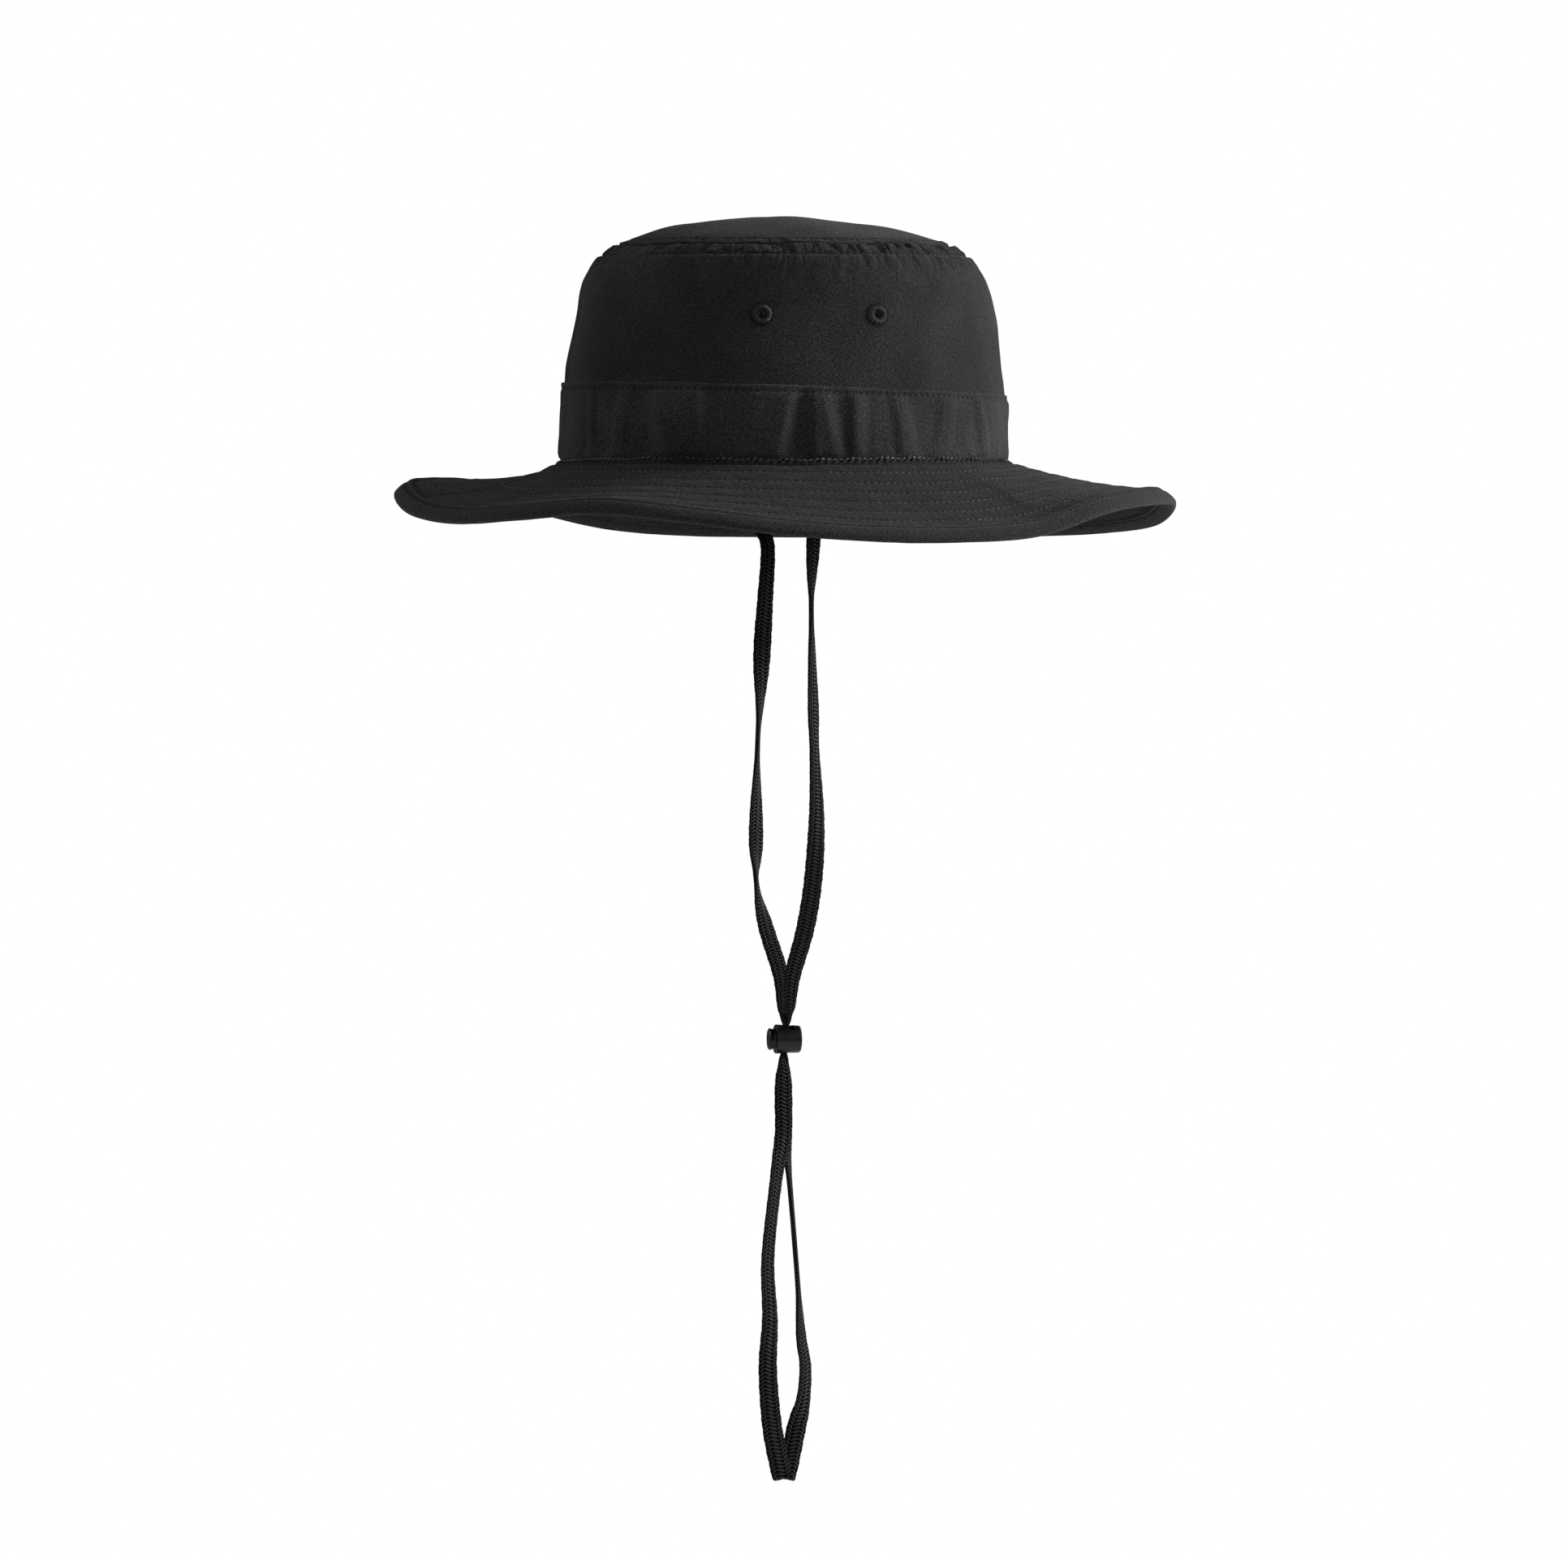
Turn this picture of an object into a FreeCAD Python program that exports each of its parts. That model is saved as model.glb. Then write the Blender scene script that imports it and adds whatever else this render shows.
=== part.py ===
"""A wide-brimmed bucket hat with a chin cord and a spring cord lock.

Millimetres. The origin is the centre of the head opening, on the seam between crown and brim. +X is the hat's
front, +Y the wearer's left and +Z up. Every sewn piece is its own solid, and so is each piece of the cord lock.
"""
import FreeCAD, Part

import math
import os

# ---- crown ----
OVAL = 0.8585                  # head opening: width over length
CROWN_PROFILE = [              # (half length, height) of the cloth wall, from the brim seam to the tip seam
    (101.7, 1.4), (101.7, 16.0), (101.2, 28.0), (100.4, 38.0), (98.8, 52.0), (96.7, 64.0),
    (94.5, 74.5), (91.3, 84.8), (87.4, 90.8), (81.1, 96.7), (76.2, 99.3),
]
TIP_EDGE_R = 76.2
TIP_EDGE_Z = 99.3
TIP_RISE = 12.4                # how far the oval tip domes above its own edge
TIP_FULLNESS = 2.8             # a larger power gives a flatter top with a rounder shoulder
CLOTH = 0.6
LAYER_GAP = 0.15
BAND_TOP_Z = 34.0              # at the ears
BAND_SLANT = 3.0               # how much higher the band's top is at the front, and lower at the back
BAND_CLOTH = 0.7
WALL_LAP = 7.0                 # the wall runs this far down inside the band
BACK_SEAM = 0.2                # gap where the two ends of a strip meet at the back
TAPE_THICKNESS = 0.4
SWEATBAND_TOP_Z = 26.0
SWEATBAND_BOTTOM_Z = 1.0
SWEATBAND_INSET = 1.7
SWEATBAND_THICKNESS = 0.8
LABEL_ANGLE = 14.0
LABEL_Z = (8.0, 24.0)

# ---- eyelets ----
EYELET_XS = {"front": 25.0, "rear": -28.6}
EYELET_Z = 66.4
EYELET_HOLE_R = 1.5
EYELET_RING_R = 4.6
EYELET_NECK_R = 2.3
EYELET_CLOTH_HOLE_R = 2.6
EYELET_LIP = 0.65
EYELET_STAND_OFF = 0.55

# ---- brim ----
BRIM_BASE = (103.4, 88.8)      # half length and half width of the brim's inner edge
BRIM_FLAT = 68.5               # cloth length from the seam to the edge binding
BRIM_RIM = 9.2                 # cloth length under the binding, which turns down
BRIM_ROOT_SLOPE = 0.45         # sine of the downward slope near the seam
BRIM_BACK_EASE = 0.20          # how much gentler that is at the back
BRIM_FRONT_EASE = 0.03         # and at the right of the front
BRIM_LEAST_CURVE = 1.12        # 1 would be a straight slope; more flattens it towards the edge
SEAM_KINK = 0.22               # extra slope where the brim turns out of the seam
SEAM_KINK_LENGTH = 7.0         # cloth length in which that dies away
BRIM_BACK_REACH = 0.05         # share by which the brim is wider at the back
BRIM_FRONT_REACH = 0.018       # and at the front
RIM_TURN = math.radians(44)
RIM_BEND = 3.5                 # cloth length over which the rim turns down
BRIM_DROPS = [                 # drop from seam to binding, every 15 degrees towards the left ear
    19.0, 23.0, 21.6, 19.3, 23.5, 28.8, 31.6, 31.9, 28.8, 18.0, 13.8, 14.4,
    22.3, 25.2, 26.5, 27.0, 27.2, 26.6, 26.2, 23.2, 15.0, 8.4, 8.4, 10.7,
]
BRIM_FIRST_ANGLE = math.radians(5)
BRIM_SECTIONS = 48
BRIM_CLOTH = 0.5
STIFFENER = 0.8
BINDING_CLOTH = 0.55
BINDING_GAP = 0.25

# ---- chin cord ----
CORD_WIDTH = 8.4
CORD_END_THICKNESS = 1.2
CORD_END_TOP_Z = 14.0
CORD_END_Y = 86.6
HINGE_Z = -2.6                 # the sewn line that the cord swings from
HINGE_GAP = 0.15
CORD_RIGHT_STRAND = [          # from the right ear down to the lock: x, y, z, width, thickness, twist in degrees
    (0.0, -86.6, HINGE_Z, 8.4, 1.2, 0), (0.0, -86.6, -10, 8.4, 1.2, 4), (-3.0, -86.1, -20, 8.4, 1.5, 20),
    (-8.5, -83.1, -38, 8.4, 1.8, 45), (-5.3, -79.3, -64, 8.4, 1.8, 24), (-3.4, -75.4, -86, 8.4, 1.8, 22),
    (-1.1, -69.3, -111, 8.4, 1.8, 74), (0.9, -63.9, -131, 8.4, 1.8, 83), (3.9, -51.2, -171, 8.4, 1.8, 42),
    (5.4, -41.0, -192, 8.4, 1.8, 80), (3.2, -28.2, -213, 8.4, 1.8, 26), (-0.9, -13.0, -235, 8.0, 1.9, 0),
    (0.3, -2.6, -248.6, 4.4, 2.8, 0), (0.75, 0.2, -252, 2.3, 3.4, 0),
]
CORD_LEFT_STRAND = [           # the same, from the left ear
    (0.0, 86.6, HINGE_Z, 8.4, 1.2, 0), (0.0, 86.6, -10, 8.4, 1.2, 6), (1.2, 86.1, -20, 8.4, 1.5, 24),
    (2.0, 83.2, -40, 8.4, 1.8, 46), (2.2, 78.6, -67, 8.4, 1.8, 80), (0.9, 74.1, -88, 8.4, 1.8, 74),
    (-1.0, 67.5, -118, 8.4, 1.8, 62), (-4.9, 54.8, -162, 8.4, 1.8, 44), (-5.9, 41.0, -190, 8.4, 1.8, 18),
    (-5.2, 27.0, -213, 8.4, 1.8, -4), (-1.6, 13.0, -235, 8.0, 1.9, 0), (-1.7, 6.2, -248.6, 4.4, 2.8, 0),
    (-1.75, 4.5, -252, 2.3, 3.4, 0),
]
CORD_FRONT_LOOP = [            # from the lock down to the fold, on the side nearer the left ear
    (0.85, -1.7, -275, 2.3, 3.2, 0), (0.3, -0.6, -279, 4.2, 2.8, 0), (0.85, 2.6, -292, 8.0, 1.9, 0),
    (1.15, 4.2, -308, 8.2, 1.8, 5), (4.3, 5.0, -326, 8.4, 1.8, 54), (8.7, 5.0, -364, 8.4, 1.8, 56),
    (7.7, 5.0, -392, 8.4, 1.8, 40), (8.6, 4.6, -418, 8.4, 1.8, 22), (6.2, 4.0, -441, 8.6, 1.8, 0),
    (1.9, 2.2, -462, 8.8, 1.6, 0),
]
CORD_BACK_LOOP = [             # and back up behind it
    (-1.65, -3.9, -275, 2.3, 3.2, 0), (-0.8, -5.4, -279, 4.2, 2.8, 0), (-0.9, -5.6, -292, 7.6, 1.9, 0),
    (-1.55, -6.4, -308, 7.8, 1.8, 30), (-3.45, -6.4, -326, 8.2, 1.8, 78), (-7.1, -5.6, -372, 8.4, 1.8, 83),
    (-8.75, -5.2, -400, 8.4, 1.8, 64), (-10.5, -4.8, -414, 8.4, 1.8, 56), (-9.5, -4.4, -429, 8.4, 1.8, 42),
    (-6.4, -4.0, -442, 8.6, 1.8, 8), (-1.9, -2.2, -462, 8.8, 1.6, 0),
]
CORD_FOLD = (0.0, 0.0, -464.6, 8.8, 1.5, 0)
CORD_STEPS = 4                 # cross-sections between one station and the next
NIP_THICKNESS = 1.05           # each strand where the lock pinches it
NIP_DEPTH = 5.2

# ---- cord lock, in its own frame: u along the barrel towards the button, w along the cord ----
LOCK_X = -1.6
LOCK_Z = -264.0
LOCK_TILT = 18.0               # degrees the cord hole leans towards the left ear
LOCK_HALF_LENGTH = 5.85
BARREL_OPEN_R = 6.7
BARREL_CLOSED_R = 6.2
BARREL_BORE_R = 5.08
BARREL_END_WALL = 1.0
BARREL_FLAT_W = 6.3            # height of the two flats that the cord hole opens on
SLOT_HALF_U = 2.5
SLOT_HALF_V = 3.2
SLOT_CORNER_R = 1.0
PLUNGER_R = 5.0
PLUNGER_NECK_R = 4.75
PLUNGER_REACH = 3.1            # how far the button stands out of the barrel
PLUNGER_TRAVEL = 2.4
PLUNGER_INNER_WALL = 1.0
EDGE_ROUND = 0.6
SPRING_R = 3.5
SPRING_WIRE_R = 0.22
SPRING_COILS = 2.5
SPRING_END_GAP = 0.06


def vec(x, y, z):
    return FreeCAD.Vector(x, y, z)


def save(shape, name):
    for solid in shape.Solids:
        if not solid.isValid():
            print("not valid:", name)
    shape.exportStep("parts/" + name + ".step")
    print(name, len(shape.Solids), round(shape.Volume, 1))


def catmull_rom(a, b, c, d, t):
    """The value between b and c at t, on a smooth curve through all four."""
    return 0.5 * (2 * b + (c - a) * t + (2 * a - 5 * b + 4 * c - d) * t ** 2 + (3 * b - a - 3 * c + d) * t ** 3)


def smooth_through(rows, steps):
    """Rows of numbers, with steps - 1 more rows eased in between each pair."""
    ends = [rows[0]] + list(rows) + [rows[-1]]
    out = []
    for i in range(len(rows) - 1):
        for k in range(steps):
            out.append(tuple(catmull_rom(*column, k / steps) for column in zip(*ends[i:i + 4])))
    return out + [rows[-1]]


def spline_edge(points):
    curve = Part.BSplineCurve()
    curve.interpolate([vec(*p) for p in points])
    return curve.toShape()


def line_edge(a, b):
    return Part.LineSegment(vec(*a), vec(*b)).toShape()


# ---------------------------------------------------------------- crown

def tip_profile(steps=14):
    rows = []
    for i in range(1, steps + 1):
        r = TIP_EDGE_R * (1 - i / steps)
        rows.append((r, TIP_EDGE_Z + TIP_RISE * (1 - (r / TIP_EDGE_R) ** TIP_FULLNESS)))
    return rows


def profile_normals(rows):
    """Outward unit normals of a profile that runs from the seam up to the apex."""
    out = []
    for i in range(len(rows)):
        a, b = rows[max(i - 1, 0)], rows[min(i + 1, len(rows) - 1)]
        dr, dz = b[0] - a[0], b[1] - a[1]
        size = math.hypot(dr, dz)
        out.append((dz / size, -dr / size))
    out[-1] = (0.0, 1.0) if rows[-1][0] == 0 else out[-1]
    return out


def shell_face(rows, inner, outer):
    """The flat face between two offsets of a profile, positive outwards, in the XZ plane."""
    normals = profile_normals(rows)
    low = [(max(r + n[0] * inner, 0), 0, z + n[1] * inner) for (r, z), n in zip(rows, normals)]
    high = [(max(r + n[0] * outer, 0), 0, z + n[1] * outer) for (r, z), n in zip(rows, normals)]
    edges = [spline_edge(low), line_edge(low[-1], high[-1]), spline_edge(high[::-1]), line_edge(high[0], low[0])]
    return Part.Face(Part.Wire(edges))


def turned(face, degrees=360.0, start=0.0):
    solid = face.revolve(vec(0, 0, 0), vec(0, 0, 1), degrees)
    solid.rotate(vec(0, 0, 0), vec(0, 0, 1), start)
    return solid


def oval(shape):
    """Round work narrowed across the head, from ear to ear."""
    squeeze = FreeCAD.Matrix()
    squeeze.scale(vec(1, OVAL, 1))
    return shape.transformGeometry(squeeze)


def with_back_seam(shape):
    reach = 2 * TIP_EDGE_R
    return shape.cut(Part.makeBox(reach, BACK_SEAM, 3 * reach, vec(-reach, -BACK_SEAM / 2, -reach)))


def half(shape, side):
    reach = 3 * TIP_EDGE_R
    y = BACK_SEAM / 2 if side > 0 else -reach - BACK_SEAM / 2
    return shape.common(Part.makeBox(2 * reach, reach, 2 * reach, vec(-reach, y, -reach)))


def part_of(rows, low_z, high_z):
    """The stretch of a profile between two heights, with its ends at exactly those heights."""
    def at(z):
        for (r0, z0), (r1, z1) in zip(rows, rows[1:]):
            if z0 <= z <= z1:
                return (r0 + (r1 - r0) * (z - z0) / (z1 - z0), z)
        return rows[-1]
    middle = [p for p in rows if low_z + 0.8 < p[1] < high_z - 0.8]
    return [at(low_z)] + middle + [at(high_z)]


def eyelet_axis(x, side):
    """A point on the wall's middle and the outward normal there."""
    wall = smooth_through(CROWN_PROFILE, 4)
    r = part_of(wall, EYELET_Z, TIP_EDGE_Z)[0][0]
    above = part_of(wall, EYELET_Z + 4, TIP_EDGE_Z)[0][0]
    below = part_of(wall, EYELET_Z - 4, TIP_EDGE_Z)[0][0]
    y = side * OVAL * math.sqrt(r ** 2 - x ** 2)
    rise = r * (below - above) / 8
    normal = vec(x, y / OVAL ** 2, rise).normalize()
    return vec(x, y, EYELET_Z) - normal * (CLOTH / 2), normal


def along(shape, point, normal):
    """A shape made about the Z axis, stood on a point with its axis along a direction."""
    out = shape.copy()
    out.Placement = FreeCAD.Placement(point, FreeCAD.Rotation(vec(0, 0, 1), normal))
    return out


def eyelet():
    """A thread ring on each face of the cloth, joined by a neck through the hole."""
    outline = [
        (EYELET_HOLE_R, -EYELET_STAND_OFF - EYELET_LIP), (EYELET_RING_R - 0.7, -EYELET_STAND_OFF - EYELET_LIP),
        (EYELET_RING_R, -EYELET_STAND_OFF - 0.2), (EYELET_RING_R, -EYELET_STAND_OFF),
        (EYELET_NECK_R, -EYELET_STAND_OFF), (EYELET_NECK_R, EYELET_STAND_OFF),
        (EYELET_RING_R, EYELET_STAND_OFF), (EYELET_RING_R, EYELET_STAND_OFF + 0.2),
        (EYELET_RING_R - 0.7, EYELET_STAND_OFF + EYELET_LIP), (EYELET_HOLE_R, EYELET_STAND_OFF + EYELET_LIP),
    ]
    points = [vec(r, 0, z) for r, z in outline]
    face = Part.Face(Part.makePolygon(points + points[:1]))
    return face.revolve(vec(0, 0, 0), vec(0, 0, 1), 360)


def above_slanted_top():
    """Everything above the band's top edge, which slants down from the front to the back."""
    reach = 2 * TIP_EDGE_R
    block = Part.makeBox(2 * reach, 2 * reach, reach, vec(-reach, -reach, 0))
    slant = math.degrees(math.atan2(BAND_SLANT, CROWN_PROFILE[0][0]))
    block.rotate(vec(0, 0, 0), vec(0, 1, 0), -slant)
    block.translate(vec(0, 0, BAND_TOP_Z))
    return block


def make_crown():
    wall = smooth_through(CROWN_PROFILE, 3)
    tip = [(TIP_EDGE_R - 0.4, TIP_EDGE_Z + 0.2)] + tip_profile()
    save(oval(turned(shell_face(tip, -CLOTH, 0))), "crown_tip")

    wall_rows = part_of(wall, BAND_TOP_Z - WALL_LAP, TIP_EDGE_Z)
    wall_ring = turned(shell_face(wall_rows, -CLOTH, 0))
    for side, word in ((1, "left"), (-1, "right")):
        panel = oval(half(wall_ring, side))
        for place, x in EYELET_XS.items():
            point, normal = eyelet_axis(x, side)
            drill = Part.makeCylinder(EYELET_CLOTH_HOLE_R, 8, vec(0, 0, -4), vec(0, 0, 1))
            panel = panel.cut(along(drill, point, normal))
            save(along(eyelet(), point, normal), "eyelet_" + word + "_" + place)
        save(panel, "crown_side_" + word)

    band_rows = part_of(wall, CROWN_PROFILE[0][1], BAND_TOP_Z + 2 * BAND_SLANT)
    band = turned(shell_face(band_rows, 0.1, 0.1 + BAND_CLOTH)).cut(above_slanted_top())
    save(oval(with_back_seam(band)), "crown_band")

    tape_top = -CLOTH - LAYER_GAP
    seam = part_of(wall, 91.0, TIP_EDGE_Z) + tip_profile()[:2]
    save(oval(with_back_seam(turned(shell_face(seam, tape_top - TAPE_THICKNESS, tape_top)))), "tip_seam_tape")
    lap = part_of(wall, BAND_TOP_Z - 8, BAND_TOP_Z + 5)
    save(oval(with_back_seam(turned(shell_face(lap, tape_top - TAPE_THICKNESS, tape_top)))), "band_seam_tape")


def upright_face(inner_r, outer_r, low_z, high_z):
    corners = [vec(r, 0, z) for r, z in ((inner_r, low_z), (outer_r, low_z), (outer_r, high_z), (inner_r, high_z))]
    return Part.Face(Part.makePolygon(corners + corners[:1]))


def make_sweatband():
    outer = CROWN_PROFILE[0][0] - SWEATBAND_INSET
    inner = outer - SWEATBAND_THICKNESS
    ring = turned(upright_face(inner, outer, SWEATBAND_BOTTOM_Z, SWEATBAND_TOP_Z))
    save(oval(with_back_seam(ring)), "sweatband")
    label = turned(upright_face(inner - 0.45, inner - LAYER_GAP, *LABEL_Z), LABEL_ANGLE, 180 - LABEL_ANGLE / 2)
    save(oval(label), "size_label")


# ---------------------------------------------------------------- brim

def swell(theta, middle_degrees):
    """1 at one angle round the head, falling smoothly to 0 on either side."""
    return math.exp((math.cos(theta - math.radians(middle_degrees)) - 1) / 0.16)


def brim_drop(theta):
    step = 2 * math.pi / len(BRIM_DROPS)
    place = (theta - BRIM_FIRST_ANGLE) / step
    i = math.floor(place)
    four = [BRIM_DROPS[(i + k) % len(BRIM_DROPS)] for k in (-1, 0, 1, 2)]
    return catmull_rom(*four, place - i)


def brim_walk(theta, pieces=120):
    """The middle of the brim at one angle round the head: rows of cloth length, run, height and slope."""
    root = BRIM_ROOT_SLOPE - BRIM_BACK_EASE * swell(theta, 168) - BRIM_FRONT_EASE * swell(theta, 335)
    reach = 1 + BRIM_BACK_REACH * swell(theta, 192) + BRIM_FRONT_REACH * swell(theta, 350)
    drop = brim_drop(theta) - SEAM_KINK * SEAM_KINK_LENGTH
    curve = max(root * BRIM_FLAT / drop, BRIM_LEAST_CURVE)
    total = BRIM_FLAT + BRIM_RIM
    rows, run, height = [], 0.0, 0.0
    step = total / pieces
    for i in range(pieces + 1):
        s = i * step
        sine = curve * drop / BRIM_FLAT * max(1 - s / BRIM_FLAT, 0.0) ** (curve - 1)
        slope = math.asin(sine + SEAM_KINK * math.exp(-s / SEAM_KINK_LENGTH))
        turn = min(max((s - BRIM_FLAT + 0.5) / RIM_BEND, 0.0), 1.0)
        slope += RIM_TURN * turn * turn * (3 - 2 * turn)
        rows.append((s, run, height, slope))
        run += step * math.cos(slope) * reach
        height -= step * math.sin(slope)
    return rows


def brim_point(theta, walk, s, lift):
    """A point on the brim, raised off its middle along the cloth's normal."""
    i = min(range(len(walk)), key=lambda k: abs(walk[k][0] - s))
    _, run, height, slope = walk[i]
    extra = s - walk[i][0]
    run += extra * math.cos(slope) + lift * math.sin(slope)
    height += -extra * math.sin(slope) + lift * math.cos(slope)
    a, b = BRIM_BASE
    nx, ny = math.cos(theta) / a, math.sin(theta) / b
    size = math.hypot(nx, ny)
    return (a * math.cos(theta) + run * nx / size, b * math.sin(theta) + run * ny / size, height)


def flat_section(theta, walk, low, high, end):
    stops = [0.0, 7, 16, 27, 40, 54, 64, BRIM_FLAT, BRIM_FLAT + 2, BRIM_FLAT + 4, end]
    under = [brim_point(theta, walk, s, low) for s in stops]
    over = [brim_point(theta, walk, s, high) for s in stops]
    return Part.Wire([
        spline_edge(under), line_edge(under[-1], over[-1]), spline_edge(over[::-1]), line_edge(over[0], under[0]),
    ])


def binding_section(theta, walk):
    """A tape folded round the brim's edge: a narrow U, closed over the rim."""
    clear = STIFFENER / 2 + LAYER_GAP + BRIM_CLOTH + BINDING_GAP
    far = BRIM_FLAT + BRIM_RIM
    stops = [BRIM_FLAT, BRIM_FLAT + 1, BRIM_FLAT + 2, BRIM_FLAT + 3, BRIM_FLAT + 4, far - clear]

    def loop(lift):
        turn = []
        for k in range(1, 8):
            angle = math.pi * k / 8
            turn.append(brim_point(theta, walk, far - clear + lift * math.sin(angle), lift * math.cos(angle)))
        over = [brim_point(theta, walk, s, lift) for s in stops]
        under = [brim_point(theta, walk, s, -lift) for s in stops[::-1]]
        return over + turn + under

    outer, inner = loop(clear + BINDING_CLOTH), loop(clear)
    return Part.Wire([
        spline_edge(outer), line_edge(outer[-1], inner[-1]), spline_edge(inner[::-1]), line_edge(inner[0], outer[0]),
    ])


def make_brim():
    layers = {
        "brim_top": (STIFFENER / 2 + LAYER_GAP, STIFFENER / 2 + LAYER_GAP + BRIM_CLOTH),
        "brim_stiffener": (-STIFFENER / 2, STIFFENER / 2),
        "brim_under": (-STIFFENER / 2 - LAYER_GAP - BRIM_CLOTH, -STIFFENER / 2 - LAYER_GAP),
    }
    end = BRIM_FLAT + BRIM_RIM - 2.6
    nick = 0.0003                          # radians, between the first section and the last
    turn = 2 * math.pi - 2 * nick
    angles = [math.pi + nick + turn * k / BRIM_SECTIONS for k in range(BRIM_SECTIONS + 1)]
    walks = [brim_walk(theta) for theta in angles]
    for name, (low, high) in layers.items():
        sections = [flat_section(theta, walk, low, high, end) for theta, walk in zip(angles, walks)]
        ring = Part.makeLoft(sections, True, False)
        for side, word in ((1, "left"), (-1, "right")):
            save(half(ring, side), name + "_" + word)
    sections = [binding_section(theta, walk) for theta, walk in zip(angles, walks)]
    save(Part.makeLoft(sections, True, False), "brim_binding")


# ---------------------------------------------------------------- chin cord

def lock_place(u, v, w):
    """A point in the lock's own frame, in the hat's frame."""
    tilt = math.radians(LOCK_TILT)
    return (LOCK_X + u, v * math.cos(tilt) + w * math.sin(tilt), LOCK_Z - v * math.sin(tilt) + w * math.cos(tilt))


def nip(u, top_first):
    """A strand through the lock: squeezed flat between plunger and barrel, fuller in the barrel's wall."""
    rows = []
    for w, wide, deep in ((8.6, 2.2, 5.0), (6.5, NIP_THICKNESS, NIP_DEPTH), (0, NIP_THICKNESS, NIP_DEPTH),
                          (-6.5, NIP_THICKNESS, NIP_DEPTH), (-8.6, 2.2, 5.0)):
        shift = (wide - NIP_THICKNESS) / 2 * (1 if u > 1.2 else -1)
        rows.append((*lock_place(u + shift, 0, w), wide, deep, 0))
    return rows if top_first else rows[::-1]


def cord_section(row, tangent):
    """A flat rectangle across the cord. Twist turns its width from X towards Y."""
    x, y, z, width, thickness, twist = row
    angle = math.radians(twist)
    across = vec(math.cos(angle), math.sin(angle), 0)
    across = (across - tangent * across.dot(tangent)).normalize()
    face = tangent.cross(across)
    centre = vec(x, y, z)
    corners = [centre + across * (i * width / 2) + face * (j * thickness / 2)
               for i, j in ((-1, -1), (1, -1), (1, 1), (-1, 1))]
    return Part.makePolygon(corners + corners[:1])


def ribbon(rows):
    """A strip through cross-sections, with both of its ends cut level."""
    points = [vec(*r[:3]) for r in rows]
    wires = [cord_section(rows[0], vec(0, 0, -1))]
    for i in range(1, len(rows) - 1):
        wires.append(cord_section(rows[i], (points[i + 1] - points[i - 1]).normalize()))
    wires.append(cord_section(rows[-1], vec(0, 0, 1)))
    return Part.makeLoft(wires, True, True)


def make_cord():
    right_u, left_u = 1.83, 0.57
    down = smooth_through(CORD_RIGHT_STRAND, CORD_STEPS) + nip(right_u, True)
    loop = CORD_FRONT_LOOP + [CORD_FOLD] + CORD_BACK_LOOP[::-1]
    up = nip(left_u, False) + smooth_through(CORD_LEFT_STRAND, CORD_STEPS)[::-1]
    return down, smooth_through(loop, CORD_STEPS), up


def make_cord_ends():
    for side, word in ((1, "left"), (-1, "right")):
        y = side * CORD_END_Y - CORD_END_THICKNESS / 2
        low = HINGE_Z + HINGE_GAP
        block = Part.makeBox(CORD_WIDTH, CORD_END_THICKNESS, CORD_END_TOP_Z - low, vec(-CORD_WIDTH / 2, y, low))
        save(block, "cord_end_" + word)


# ---------------------------------------------------------------- cord lock

def lock_frame(shape):
    """From the lock's own frame, with its axis along X and the cord along Z, to the hat's frame."""
    out = shape.copy()
    stand = FreeCAD.Placement(vec(LOCK_X, 0, LOCK_Z), FreeCAD.Rotation(vec(1, 0, 0), -LOCK_TILT))
    out.Placement = stand.multiply(out.Placement)
    return out


def turned_along_u(outline):
    points = [vec(u, 0, r) for u, r in outline]
    return Part.Face(Part.makePolygon(points + points[:1])).revolve(vec(0, 0, 0), vec(1, 0, 0), 360)


def cord_slot(centre_u):
    block = Part.makeBox(2 * SLOT_HALF_U, 2 * SLOT_HALF_V, 20, vec(centre_u - SLOT_HALF_U, -SLOT_HALF_V, -10))
    upright = [e for e in block.Edges if abs(e.tangentAt(e.FirstParameter).z) > 0.9]
    return block.makeFillet(SLOT_CORNER_R, upright)


def make_barrel():
    end, bore = LOCK_HALF_LENGTH, BARREL_BORE_R
    solid = turned_along_u([
        (-end, 0), (-end, BARREL_CLOSED_R - EDGE_ROUND), (-end + EDGE_ROUND, BARREL_CLOSED_R),
        (end - 0.3, BARREL_OPEN_R), (end, BARREL_OPEN_R - 0.3), (end, bore),
        (-end + BARREL_END_WALL, bore), (-end + BARREL_END_WALL, 0),
    ])
    for sign in (1, -1):
        low = BARREL_FLAT_W if sign > 0 else -BARREL_FLAT_W - 5
        solid = solid.cut(Part.makeBox(2 * end, 20, 5, vec(-end, -10, low)))
    return lock_frame(solid.cut(cord_slot(0)))


def make_plunger():
    hole = PLUNGER_TRAVEL
    inner = hole - SLOT_HALF_U - PLUNGER_INNER_WALL
    outer = LOCK_HALF_LENGTH + PLUNGER_REACH
    mouth = LOCK_HALF_LENGTH + 0.4
    solid = turned_along_u([
        (inner, 0), (inner, PLUNGER_R), (mouth, PLUNGER_R), (mouth + 0.4, PLUNGER_NECK_R),
        (outer - 1.2, PLUNGER_NECK_R), (outer - 0.9, PLUNGER_R), (outer - 0.4, PLUNGER_R),
        (outer, PLUNGER_R - 0.6), (outer, 0),
    ])
    return lock_frame(solid.cut(cord_slot(hole)))


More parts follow.
